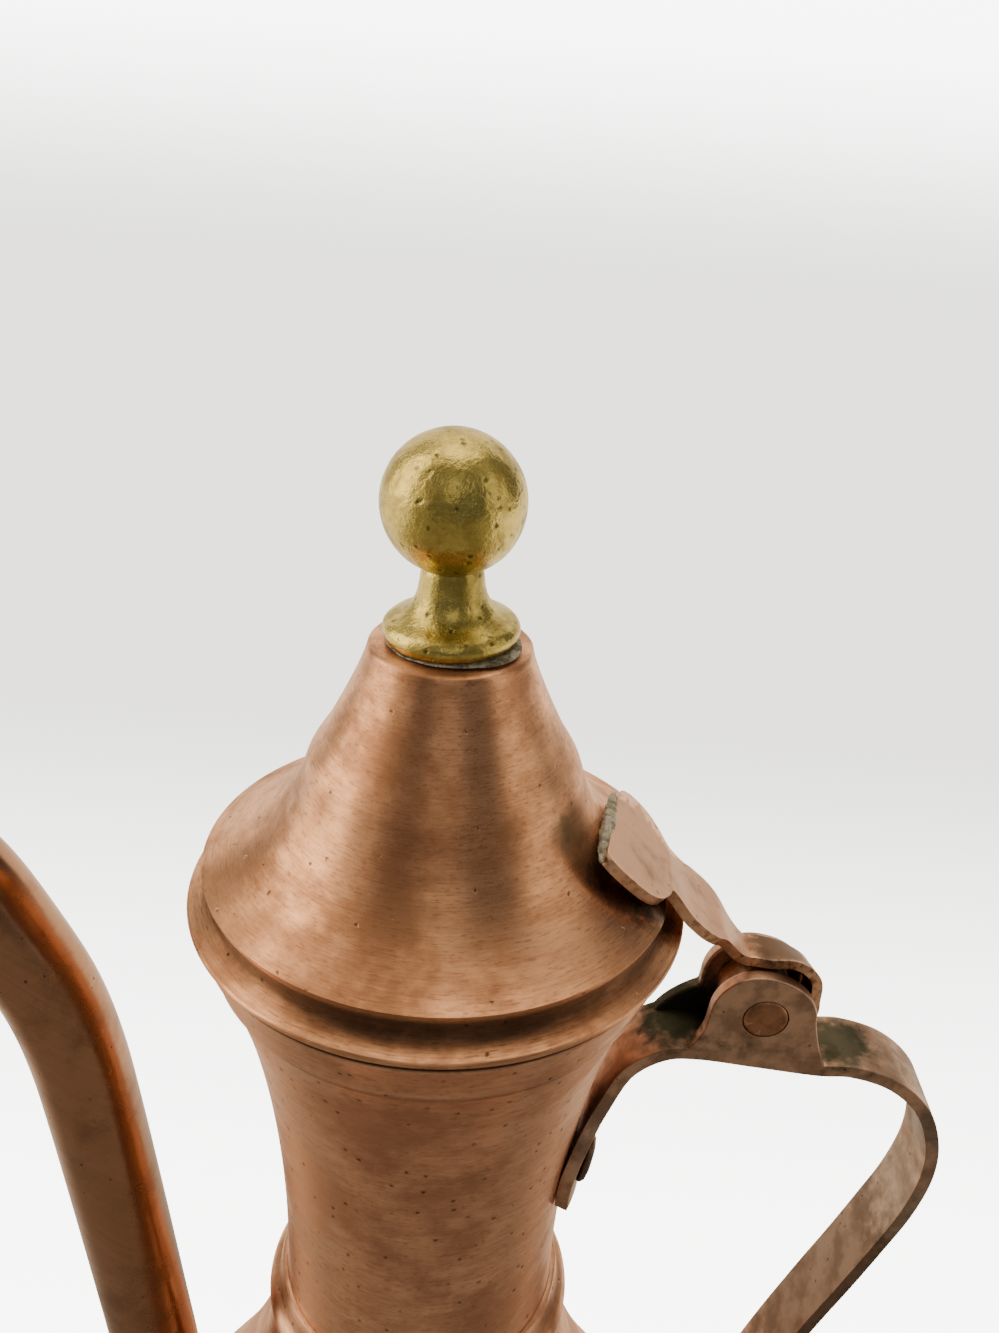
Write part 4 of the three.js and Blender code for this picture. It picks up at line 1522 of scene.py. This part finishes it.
@dataclass
class Lid:
    """Spun bell with its lip and groove, the sleeve in it, and the strap that carries it."""

    lip_radius: float = 38.6
    lip_bead: float = 0.9
    groove_radius: float = 35
    groove_height: float = 2.6
    bell_radius: float = 36.2
    bell_height: float = 6.3
    crown: float = 42.9
    ridge_height: float = 24.5
    ridge_rise: float = 0.4
    ridge_spread: float = 2.6
    tang_hole: float = 2.8
    slope: float = math.radians(42)
    seat_depth: float = 2.2
    seat_length: float = 14
    pad_bed: float = 0.3
    strap_plate: float = 1.7
    edge_round: float = 0.35
    knuckle_half: float = 3.3
    knuckle_reach: float = 11.3

    @property
    def down(self) -> Vector:
        """Direction down the strap's pad."""
        return Vector((math.cos(self.slope), 0, -math.sin(self.slope)))

    @property
    def out(self) -> Vector:
        """Direction out of the strap's pad."""
        return Vector((math.sin(self.slope), 0, math.cos(self.slope)))

    @property
    def bell_edge(self) -> Vector:
        """The bell's edge under the strap, in heights above the lip."""
        return Vector((self.bell_radius, 0, self.bell_height))

    def pressed(self, point: Vector, lift: float) -> Vector:
        """A point of the bell pressed down to the strap's seat, with a soft border.

        Args:
            point: A point of the bell.
            lift: How much higher the seat is for it.

        Returns:
            Its new place.
        """
        apart = point - self.bell_edge
        above = max(0, -self.seat_length - apart.dot(self.down)) * 0.8
        excess = apart.dot(self.out) - (above - self.seat_depth + lift)
        soft = 0.35
        if excess <= -soft:
            return point
        push = excess if excess >= soft else (excess + soft) ** 2 / (4 * soft)
        return point - self.out * push

    def brim(self) -> Outline:
        """The groove and the lip, from the bell's edge down.

        Returns:
            Points of radius and height above the lip.
        """
        groove, top = self.groove_radius, self.groove_height
        lip, bead = self.lip_radius, self.lip_bead
        groove_curve = bezier((36.05, 5.6), (35.6, 4.9), (groove, 4.3), (groove, top), 8)
        floor = bezier((groove, top), (groove, top - 1.0), (36.2, 1.3), (lip - 1.3, bead), 8)[1:]
        lip_curve = arc((lip - bead / 2, 0), (bead / 2, bead * 0.62), 80, -90, 10)
        return groove_curve + floor + [(lip - 0.9, bead * 0.74)] + lip_curve + [(lip - bead / 2, -bead)]

    def profile(self) -> tuple[Outline, int]:
        """The lid's closed outline, with the number of its outer points.

        Returns:
            The outline, and how many of its points lie outside.
        """
        wall = self.groove_radius - SHEET
        ceiling = self.crown - SHEET
        inner = [(x, z) for x, z in offset(LID_OUTER, -SHEET) if z < ceiling - 0.2 and x < wall - 0.4]
        crown = [(self.tang_hole, self.crown), (9.5, self.crown)]
        crown += [(10.9, self.crown - 0.06), (11.5, self.crown - 0.2)]
        away = [(z - self.ridge_height) / self.ridge_spread for _, z in LID_OUTER]
        ridged = [(x + self.ridge_rise * math.exp(-(a**2)), z) for (x, z), a in zip(LID_OUTER, away)]
        outer = crown + ridged + self.brim() + [(wall, -self.lip_bead)]
        lining = [(wall, 2.0), (wall, inner[-1][1] - 0.4)] + inner[::-1]
        lining += [(inner[0][0], ceiling), (self.tang_hole, ceiling)]
        return outer + lining, len(outer)

    def bell(self) -> bpy.types.Object:
        """The lid's shell with the seat for the strap pressed into it.

        Returns:
            The shell.
        """
        outline, outer_count = self.profile()
        inner = {(round(x, 2), round(z, 2)) for x, z in outline[outer_count:-2]}
        shell = turn_on_lathe("bell", outline, 216)

        def press(point: Vector) -> Vector:
            """Presses the seat, the lining a sheet's thickness deeper.

            Args:
                point: A point of the shell.

            Returns:
                Its new place, at its height on the ewer.
            """
            key = (round(math.hypot(point.x, point.y), 2), round(point.z, 2))
            pressed = self.pressed(point, -SHEET if key in inner else 0)
            return pressed + Vector((0, 0, LIP))

        move_points(shell, press)
        return shell

    def on_pad(self, downhill: float, y: float, out: float) -> Vector:
        """A point of the pad: downhill of the bell's edge, along Y, and out from the plane's foot."""
        point = self.bell_edge + self.down * downhill + self.out * out
        return Vector((point.x, y, point.z + LIP))

    def strap_edges(self) -> list[tuple[float, ...]]:
        """Front and back edge of the strap's top face, as knots of X, Y, Z for each.

        Returns:
            The knots, from the pad's uphill edge to the end of the roll.
        """
        top = -self.seat_depth + SEAM * 2 + self.pad_bed + self.strap_plate
        pad = (
            (-16.6, -13.2, -11.8, 8),
            (-15.2, -14.5, -10.6, 9.6),
            (-11.2, -14.8, -8.2, 10.4),
            (-7.3, -14.3, -5, 9.8),
            (-4.6, -12.6, -2.6, 7.7),
            (-2.4, -9.6, -1.2, 5.6),
            (-1, -7.5, -0.2, 4.5),
        )
        neck = (
            (-15, 21.5, -8.2, 5.8),
            (-13.4, 19.8, -8.1, 6.8),
            (-11.8, 18.2, -7.7, 7.3),
            (-10, 16.7, -7, 7),
            (-8.3, 15.2, -5.6, 5.6),
            (-6.5, 12.7, -4.2, 4.2),
            (-5, 10.9, -3.5, 3.5),
        )
        edges = [(*self.on_pad(a, b, top), *self.on_pad(c, d, top)) for a, b, c, d in pad]
        edges += [(PIN[0] + x, f, PIN[1] + z, PIN[0] + x, b, PIN[1] + z) for x, z, f, b in neck]
        roll = (
            (-20, 10.9, 10.1),
            (0, 9.85, 9.3),
            (25, 10.75, 8.9),
            (50, 10.75, 9.2),
            (75, 9.35, 9.35),
            (95, 9.1, 9.2),
            (180, 7.9, 7.9),
            (270, 6.5, 6.5),
            (360, 5.65, 5.65),
            (450, 5.35, 5.35),
            (540, 5.3, 5.3),
        )
        for turn, near, far in spline(roll, 42):
            angle = math.radians(turn)
            edge = []
            for radius, y in ((near, -self.knuckle_half), (far, self.knuckle_half)):
                edge += [PIN[0] + radius * math.sin(angle), y, PIN[1] + radius * math.cos(angle)]
            edges.append(tuple(edge))
        return edges

    def strap(self) -> bpy.types.Object:
        """The lid's strap, bent from a flat blank.

        Returns:
            The strap.
        """
        rows = []
        edges = self.strap_edges()
        for knot in spline(edges, (len(edges) - 1) * 4):
            front, back = Vector(knot[:3]), Vector(knot[3:])
            rows.append([front.lerp(back, i / 10) for i in range(11)])
        strap = sheet_blank("lid_strap_plate", rows)
        apply_modifier(strap, "SOLIDIFY", thickness=self.strap_plate * MM, offset=1, use_even_offset=True)
        half = self.knuckle_half

        def within_slot(point: Vector) -> Vector:
            """Keeps the knuckle narrower than the slot between the ears.

            Args:
                point: A point of the strap.

            Returns:
                Its new place.
            """
            near = math.hypot(point.x - PIN[0], point.z - PIN[1]) < self.knuckle_reach
            return Vector((point.x, min(max(point.y, -half), half), point.z)) if near else point

        move_points(strap, within_slot)
        round_edges(strap, self.edge_round)
        tidy_faces(strap)
        return strap

    def solder(self) -> bpy.types.Object:
        """The solder bed under the pad, its lumpy bead along the uphill edge and a drip at the lip.

        Returns:
            The solder.
        """
        under = -self.seat_depth + SEAM
        corners = [(-16.4, -10.2), (-6, -9.4), (-6, 5.6), (-12, 6.6)]
        rows = [[self.on_pad(*corners[i], under + self.pad_bed) for i in row] for row in ((0, 1), (3, 2))]
        bed = sheet_blank("solder", rows)
        apply_modifier(bed, "SOLIDIFY", thickness=self.pad_bed * MM, offset=1)
        tidy_faces(bed)
        start, end = self.on_pad(-16.9, -15.2, -0.75), self.on_pad(-12.3, 8.2, -0.35)
        bead = self.lump("bead", start, end, (1.15, 1.0))
        start, end = self.on_pad(-1.5, -4.2, under - 0.4), self.on_pad(1.6, -4.8, under + 0.5)
        drip = self.lump("drip", start, end, (1.2, 1.0))
        for lump in (bead, drip):
            combine(bed, lump, "UNION")
        return bed

    def lump(self, name: str, start: Vector, end: Vector, radii: tuple[float, float]) -> bpy.types.Object:
        """A lumpy run of solder between two places, thinner at both ends.

        Args:
            name: Name of the run.
            start: Its start.
            end: Its end.
            radii: Its radius at the start and at the end.

        Returns:
            The run.
        """
        deselect()
        bpy.ops.mesh.primitive_uv_sphere_add(segments=48, ring_count=96, radius=1)
        run = named(name)
        along = end - start
        turn = Vector((0, 0, 1)).rotation_difference(along.normalized()).to_matrix()

        def pour(point: Vector) -> Vector:
            """Stretches the ball along the run and roughens it.

            Args:
                point: A point of the ball.

            Returns:
                Its place on the run.
            """
            share = (point.z + 1) / 2
            around = Vector((point.x, point.y, 0)).normalized() if abs(point.z) < 0.999 else Vector()
            plump = math.sqrt(math.sin(math.pi * min(max(share, 0.0), 1.0)))
            radius = (radii[0] + (radii[1] - radii[0]) * share) * plump
            spot = Vector((around.x * 2, around.y * 2, share * along.length))
            radius *= 1 + 0.25 * noise.noise(spot * 0.7) + 0.14 * noise.noise(spot * 2.1)
            return start + along * share + turn @ (around * radius)

        for vertex in run.data.vertices:
            vertex.co = pour(vertex.co.copy()) * MM
        run.data.update()
        tidy_faces(run)
        return run

    def build(
        self,
        copper: bpy.types.Material,
        strap_copper: bpy.types.Material,
        dark: bpy.types.Material,
        solder: bpy.types.Material,
    ) -> None:
        """Makes the lid's pieces apart from the finial.

        Args:
            copper: Material of the bell.
            strap_copper: Material of the strap.
            dark: Material of the sleeve.
            solder: Material of the solder.
        """
        sleeve_radius = self.groove_radius - SHEET - SEAM
        profile = [(sleeve_radius, 1.2), (sleeve_radius, -self.lip_bead), (sleeve_radius - 0.8, -5)]
        profile += [(x - SHEET, z) for x, z in reversed(profile)]
        sleeve = turn_on_lathe("guide_sleeve", [(x, z + LIP) for x, z in profile])
        finishes = (
            (self.bell(), "lid_shell", Slot.LID, copper),
            (sleeve, "lid_sleeve", Slot.DARK, dark),
            (self.strap(), "lid_strap", Slot.STRAP, strap_copper),
            (self.solder(), "strap_solder", Slot.SOLDER, solder),
        )
        for piece, node, slot, finish in finishes:
            shade(piece)
            settle(piece, node, Body.LID, finish)


@dataclass
class Finial:
    """Turned brass ball on a trumpet foot, with its tang peened over a washer."""

    ball_radius: float = 10.05
    ball_height: float = 63.5
    neck: float = 4.7
    neck_height: float = 51.6
    foot: float = 10.05
    foot_height: float = 3.2
    lean: float = math.radians(1.6)
    crown: float = 42.9
    bed: float = 0.45
    tang: float = 2.2
    hole: float = 2.8
    washer: float = 0.8
    washer_radius: float = 6

    def outline(self) -> Outline:
        """The finial's outline in heights above the crown.

        Returns:
            Points of radius and height.
        """
        sole = SEAM * 2 + self.bed
        ball = self.ball_height - self.crown
        neck = self.neck_height - self.crown
        join = math.degrees(math.acos(self.neck / self.ball_radius)) + 4
        curve = arc((0, ball), (self.ball_radius, self.ball_radius), 90, -join, 40)
        curve[0] = (0, curve[0][1])
        foot_top = sole + self.foot_height
        under_ball = (self.neck - 0.1, (neck + curve[-1][1]) / 2 + 0.4)
        waist, waist_end = (self.neck - 0.15, neck + 0.5), (self.neck + 0.1, neck - 0.8)
        throat = bezier(curve[-1], under_ball, waist, waist_end, 8)[1:]
        flare, brim = (self.neck + 0.5, foot_top + 1.6), (self.foot - 3.6, foot_top + 0.5)
        trumpet = bezier(throat[-1], flare, brim, (self.foot - 1.2, foot_top - 0.6), 14)[1:]
        bulge, heel = (self.foot - 0.3, foot_top - 1.2), (self.foot + 0.1, sole + 1.1)
        rim = bezier(trumpet[-1], bulge, heel, (self.foot - 0.6, sole), 10)[1:]
        tail = -SHEET - SEAM - self.washer - SEAM * 1.5
        peg = [(self.tang, sole), (self.tang, tail), (3.4, tail), (2.4, tail - 1), (0, tail - 1.2)]
        return curve + throat + trumpet + rim + peg

    def cast(self, point: Vector) -> Vector:
        """Gives the turned metal the small unevenness of a casting.

        Args:
            point: A point of the turned finial.

        Returns:
            Its new place.
        """
        lump = noise.noise(point * 0.35) * 0.07 + noise.noise(point * 1.1 + Vector((7, 0, 0))) * 0.035
        radial = Vector((point.x, point.y, 0))
        return point + radial.normalized() * lump if radial.length > self.tang + 0.5 else point

    def build(self, brass: bpy.types.Material, dark: bpy.types.Material, solder: bpy.types.Material) -> None:
        """Turns the finial, its washer and the solder at its foot.

        Args:
            brass: Material of the finial.
            dark: Material of the washer.
            solder: Material of the solder.
        """
        finial = turn_on_lathe("ball_finial", self.outline(), 128)
        move_points(finial, self.cast)
        stand = Matrix.Translation((0, 0, LIP + self.crown)) @ Matrix.Rotation(-self.lean, 4, "Y")
        place_by(finial, stand)
        top = LIP + self.crown - SHEET - SEAM
        low, hole, rim = top - self.washer, self.hole, self.washer_radius
        washer = turn_on_lathe("washer", [(hole, top), (rim, top), (rim, low), (hole, low)], 48)
        finishes = (
            (finial, "finial", Slot.BRASS, brass),
            (washer, "finial_washer", Slot.DARK, dark),
            (self.solder_ring(), "finial_solder", Slot.SOLDER, solder),
        )
        for piece, node, slot, finish in finishes:
            shade(piece, 40)
            settle(piece, node, Body.LID, finish)

    def solder_ring(self) -> bpy.types.Object:
        """Solder that fills the wedge under the finial and runs out at its right front.

        Returns:
            The solder.
        """
        reach = self.foot - 0.6
        profile = [(self.hole, 0), (reach - 0.6, 0), (reach, 0.25)]
        profile += [(reach - 0.1, 0.8), (reach - 0.8, 1), (self.hole, 1)]
        ring = turn_on_lathe("solder_ring", profile, 96)
        slope = math.tan(self.lean)

        def pour(point: Vector) -> Vector:
            """Lets the solder's top follow the finial and its rim wander.

            Args:
                point: A point of the turned ring.

            Returns:
                Its new place, at its height on the ewer.
            """
            azimuth = math.atan2(point.y, point.x)
            run = 1.3 * math.exp(-(((azimuth + 0.6) / 0.55) ** 2))
            wander = 0.3 * noise.noise(Vector((math.cos(azimuth) * 3, math.sin(azimuth) * 3, 0)))
            rim = math.hypot(point.x, point.y) > reach - 1
            stretch = 1 + (run + wander) / reach if rim else 1
            height = SEAM + point.z * (self.bed + point.x * slope - 0.02)
            return Vector((point.x * stretch, point.y * stretch, LIP + self.crown + height))

        move_points(ring, pour)
        return ring


# The studio


@dataclass(frozen=True)
class SoftBox:
    """A tall soft light at an azimuth, with its heights as sines of the elevation."""

    azimuth: float
    half_width: float
    low: float
    high: float
    strength: float


@dataclass
class Studio:
    """Pale floor, soft lights and the camera at the photograph's viewpoint."""

    room: float = 0.13
    backdrop: float = 3.0
    ceiling: float = 2.4
    paper_glow: float = 8.5
    paper_dip: float = 0.74
    paper_rise: float = 0.62
    mirrored_glow: float = 1.35
    mirrored_side: float = 0.6
    boxes: tuple[SoftBox, ...] = (
        SoftBox(176, 28, 0.0, 0.8, 3.5),
        SoftBox(-150, 20, 0.0, 0.6, 0.6),
        SoftBox(-12, 24, 0.0, 0.7, 0.9),
        SoftBox(-88, 24, 0.4, 0.8, 0.65),
    )
    camera_place: tuple[float, float, float] = (4.998, -153.89, 354.34)
    heading: float = 0.0138
    pitch: float = 0.46435
    roll: float = -0.07143
    lens: float = 32.42

    def floor(self) -> None:
        """A floor that curves up far behind the ewer."""
        deselect()
        bpy.ops.mesh.primitive_plane_add(size=2, location=(0, 0, 0))
        floor = bpy.context.object
        floor.name = "studio_floor"
        bpy.ops.object.mode_set(mode="EDIT")
        bpy.ops.mesh.select_all(action="DESELECT")
        bpy.ops.object.mode_set(mode="OBJECT")
        for edge in floor.data.edges:
            ends = [floor.data.vertices[i].co.y for i in edge.vertices]
            edge.select = min(ends) > 0.9
        bpy.ops.object.mode_set(mode="EDIT")
        for i in range(1, 9):
            turn = math.radians(10 * i)
            step = (0, 0.16 * math.cos(turn), 0.16 * math.sin(turn))
            bpy.ops.mesh.extrude_region_move(TRANSFORM_OT_translate={"value": step})
        bpy.ops.mesh.extrude_region_move(TRANSFORM_OT_translate={"value": (0, 0, 2)})
        bpy.ops.mesh.select_all(action="SELECT")
        bpy.ops.transform.resize(value=(2.5, 1.6, 1))
        bpy.ops.mesh.normals_make_consistent(inside=False)
        bpy.ops.object.mode_set(mode="OBJECT")
        bpy.ops.object.transform_apply(location=True, rotation=True, scale=True)
        floor.data.materials.append(self.paper())
        shade(floor, 40)

    def paper(self) -> bpy.types.Material:
        """White paper that the photograph shows far brighter than the copper mirrors it.

        Returns:
            The material.
        """
        material, graph, shader = start_material("white paper")
        x, y, z = graph.parts(graph.node("ShaderNodeTexCoord").outputs["Object"])
        dip, rise = graph.step(y, -0.05, 0.5), graph.step(z, 0.05, 0.5)
        glow = graph.minus(self.paper_glow, graph.times(dip, self.paper_glow * self.paper_dip))
        glow = graph.plus(glow, graph.times(rise, self.paper_glow * self.paper_rise))
        reach = graph.plus(y, graph.times(graph.math("ABSOLUTE", x), self.mirrored_side))
        mirrored = graph.times(graph.step(reach, 0.04, 0.36), self.mirrored_glow)
        seen = graph.node("ShaderNodeLightPath").outputs["Is Camera Ray"]
        tint = graph.mix(seen, (1, 0.86, 0.66, 1), (1, 1, 0.985, 1))
        strength = graph.blend(seen, mirrored, glow)
        shader.inputs["Base Color"].default_value = (0.3, 0.3, 0.297, 1)
        shader.inputs["Roughness"].default_value = 0.9
        graph.feed(shader.inputs["Emission Color"], tint)
        graph.feed(shader.inputs["Emission Strength"], strength)
        return material

    def world(self) -> None:
        """A dim room with tall soft lights round the ewer."""
        world = bpy.data.worlds.new("studio")
        bpy.context.scene.world = world
        world.use_nodes = True
        graph = Graph(world.node_tree)
        shader = world.node_tree.nodes["Background"]
        x, y, z = graph.parts(graph.node("ShaderNodeTexCoord").outputs["Generated"])
        level = graph.length(x, y)
        overhead = graph.plus(graph.times(y, 0.3), graph.times(z, 0.954))
        light = graph.times(graph.step(overhead, 0.84, 0.97), self.ceiling)
        light = graph.plus(light, self.room)
        for box in self.boxes:
            azimuth = math.radians(box.azimuth)
            along = graph.plus(graph.times(x, math.cos(azimuth)), graph.times(y, math.sin(azimuth)))
            facing = graph.over(along, level)
            outer = math.cos(math.radians(box.half_width))
            inner = math.cos(math.radians(box.half_width * 0.45))
            across = graph.step(facing, outer, inner)
            above = graph.step(z, box.low - 0.15, box.low + 0.1)
            below = graph.step(z, box.high + 0.2, box.high - 0.1)
            upright = graph.times(above, below)
            glow = graph.times(graph.times(across, upright), box.strength)
            light = graph.plus(light, glow)
        warmth = graph.mix(graph.step(light, 0.1, 0.9), (1, 0.99, 0.98, 1), (1, 0.84, 0.62, 1))
        seen = graph.node("ShaderNodeLightPath").outputs["Is Camera Ray"]
        graph.feed(shader.inputs["Color"], graph.mix(seen, warmth, (1, 1, 0.985, 1)))
        graph.feed(shader.inputs["Strength"], graph.blend(seen, light, self.backdrop))

    def camera(self) -> None:
        """The camera at the photograph's viewpoint."""
        forward = Vector(
            (
                math.sin(self.heading) * math.cos(self.pitch),
                math.cos(self.heading) * math.cos(self.pitch),
                -math.sin(self.pitch),
            )
        )
        level = Vector((math.cos(self.heading), -math.sin(self.heading), 0))
        upright = level.cross(forward)
        right = level * math.cos(self.roll) - upright * math.sin(self.roll)
        up = right.cross(forward)
        lens = bpy.data.cameras.new("camera")
        lens.lens = self.lens
        lens.sensor_width = 36
        lens.clip_start = 0.01
        lens.clip_end = 50
        camera = bpy.data.objects.new("camera", lens)
        bpy.context.scene.collection.objects.link(camera)
        turn = Matrix((right, up, -forward)).transposed().to_4x4()
        camera.matrix_world = Matrix.Translation(Vector(self.camera_place) * MM) @ turn
        bpy.context.scene.camera = camera

    def build(self) -> None:
        """Sets up the studio."""
        self.floor()
        self.world()
        self.camera()


def main() -> None:
    """Builds the ewer and its studio."""
    logging.basicConfig(level=logging.INFO, format="%(name)s: %(message)s")
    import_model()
    shop = Workshop()
    sheets = (BODY_COPPER, LID_COPPER, SPOUT_COPPER)
    straps = (STRAP_COPPER, LID_STRAP_COPPER, DARK_COPPER, RIVET_COPPER)
    body, lid, spout_copper = (finish.build(shop) for finish in sheets)
    strap, lid_strap, dark, rivet = (finish.build(shop) for finish in straps)
    brass, solder = BRASS.build(shop), SolderFinish().build(shop)
    handle, spout = Handle(), Spout()
    Belly().build(body, lambda: handle.body_cutters(spout))
    Neck().build(body, handle.rivet_hole(handle.rivet_frames()[0]))
    filled = [(0, SHOULDER + SEAM)] + offset(BODY_OUTER + BOWL_OUTER, SEAM) + [(0, SHEET)]
    spout.build(spout_copper, turn_on_lathe("filled_body", filled))
    handle.build(strap, dark, rivet)
    Lid().build(lid, lid_strap, dark, solder)
    Finial().build(brass, dark, solder)
    Studio().build()
    LOG.info("all pieces are in place")


if __name__ == "__main__":
    main()
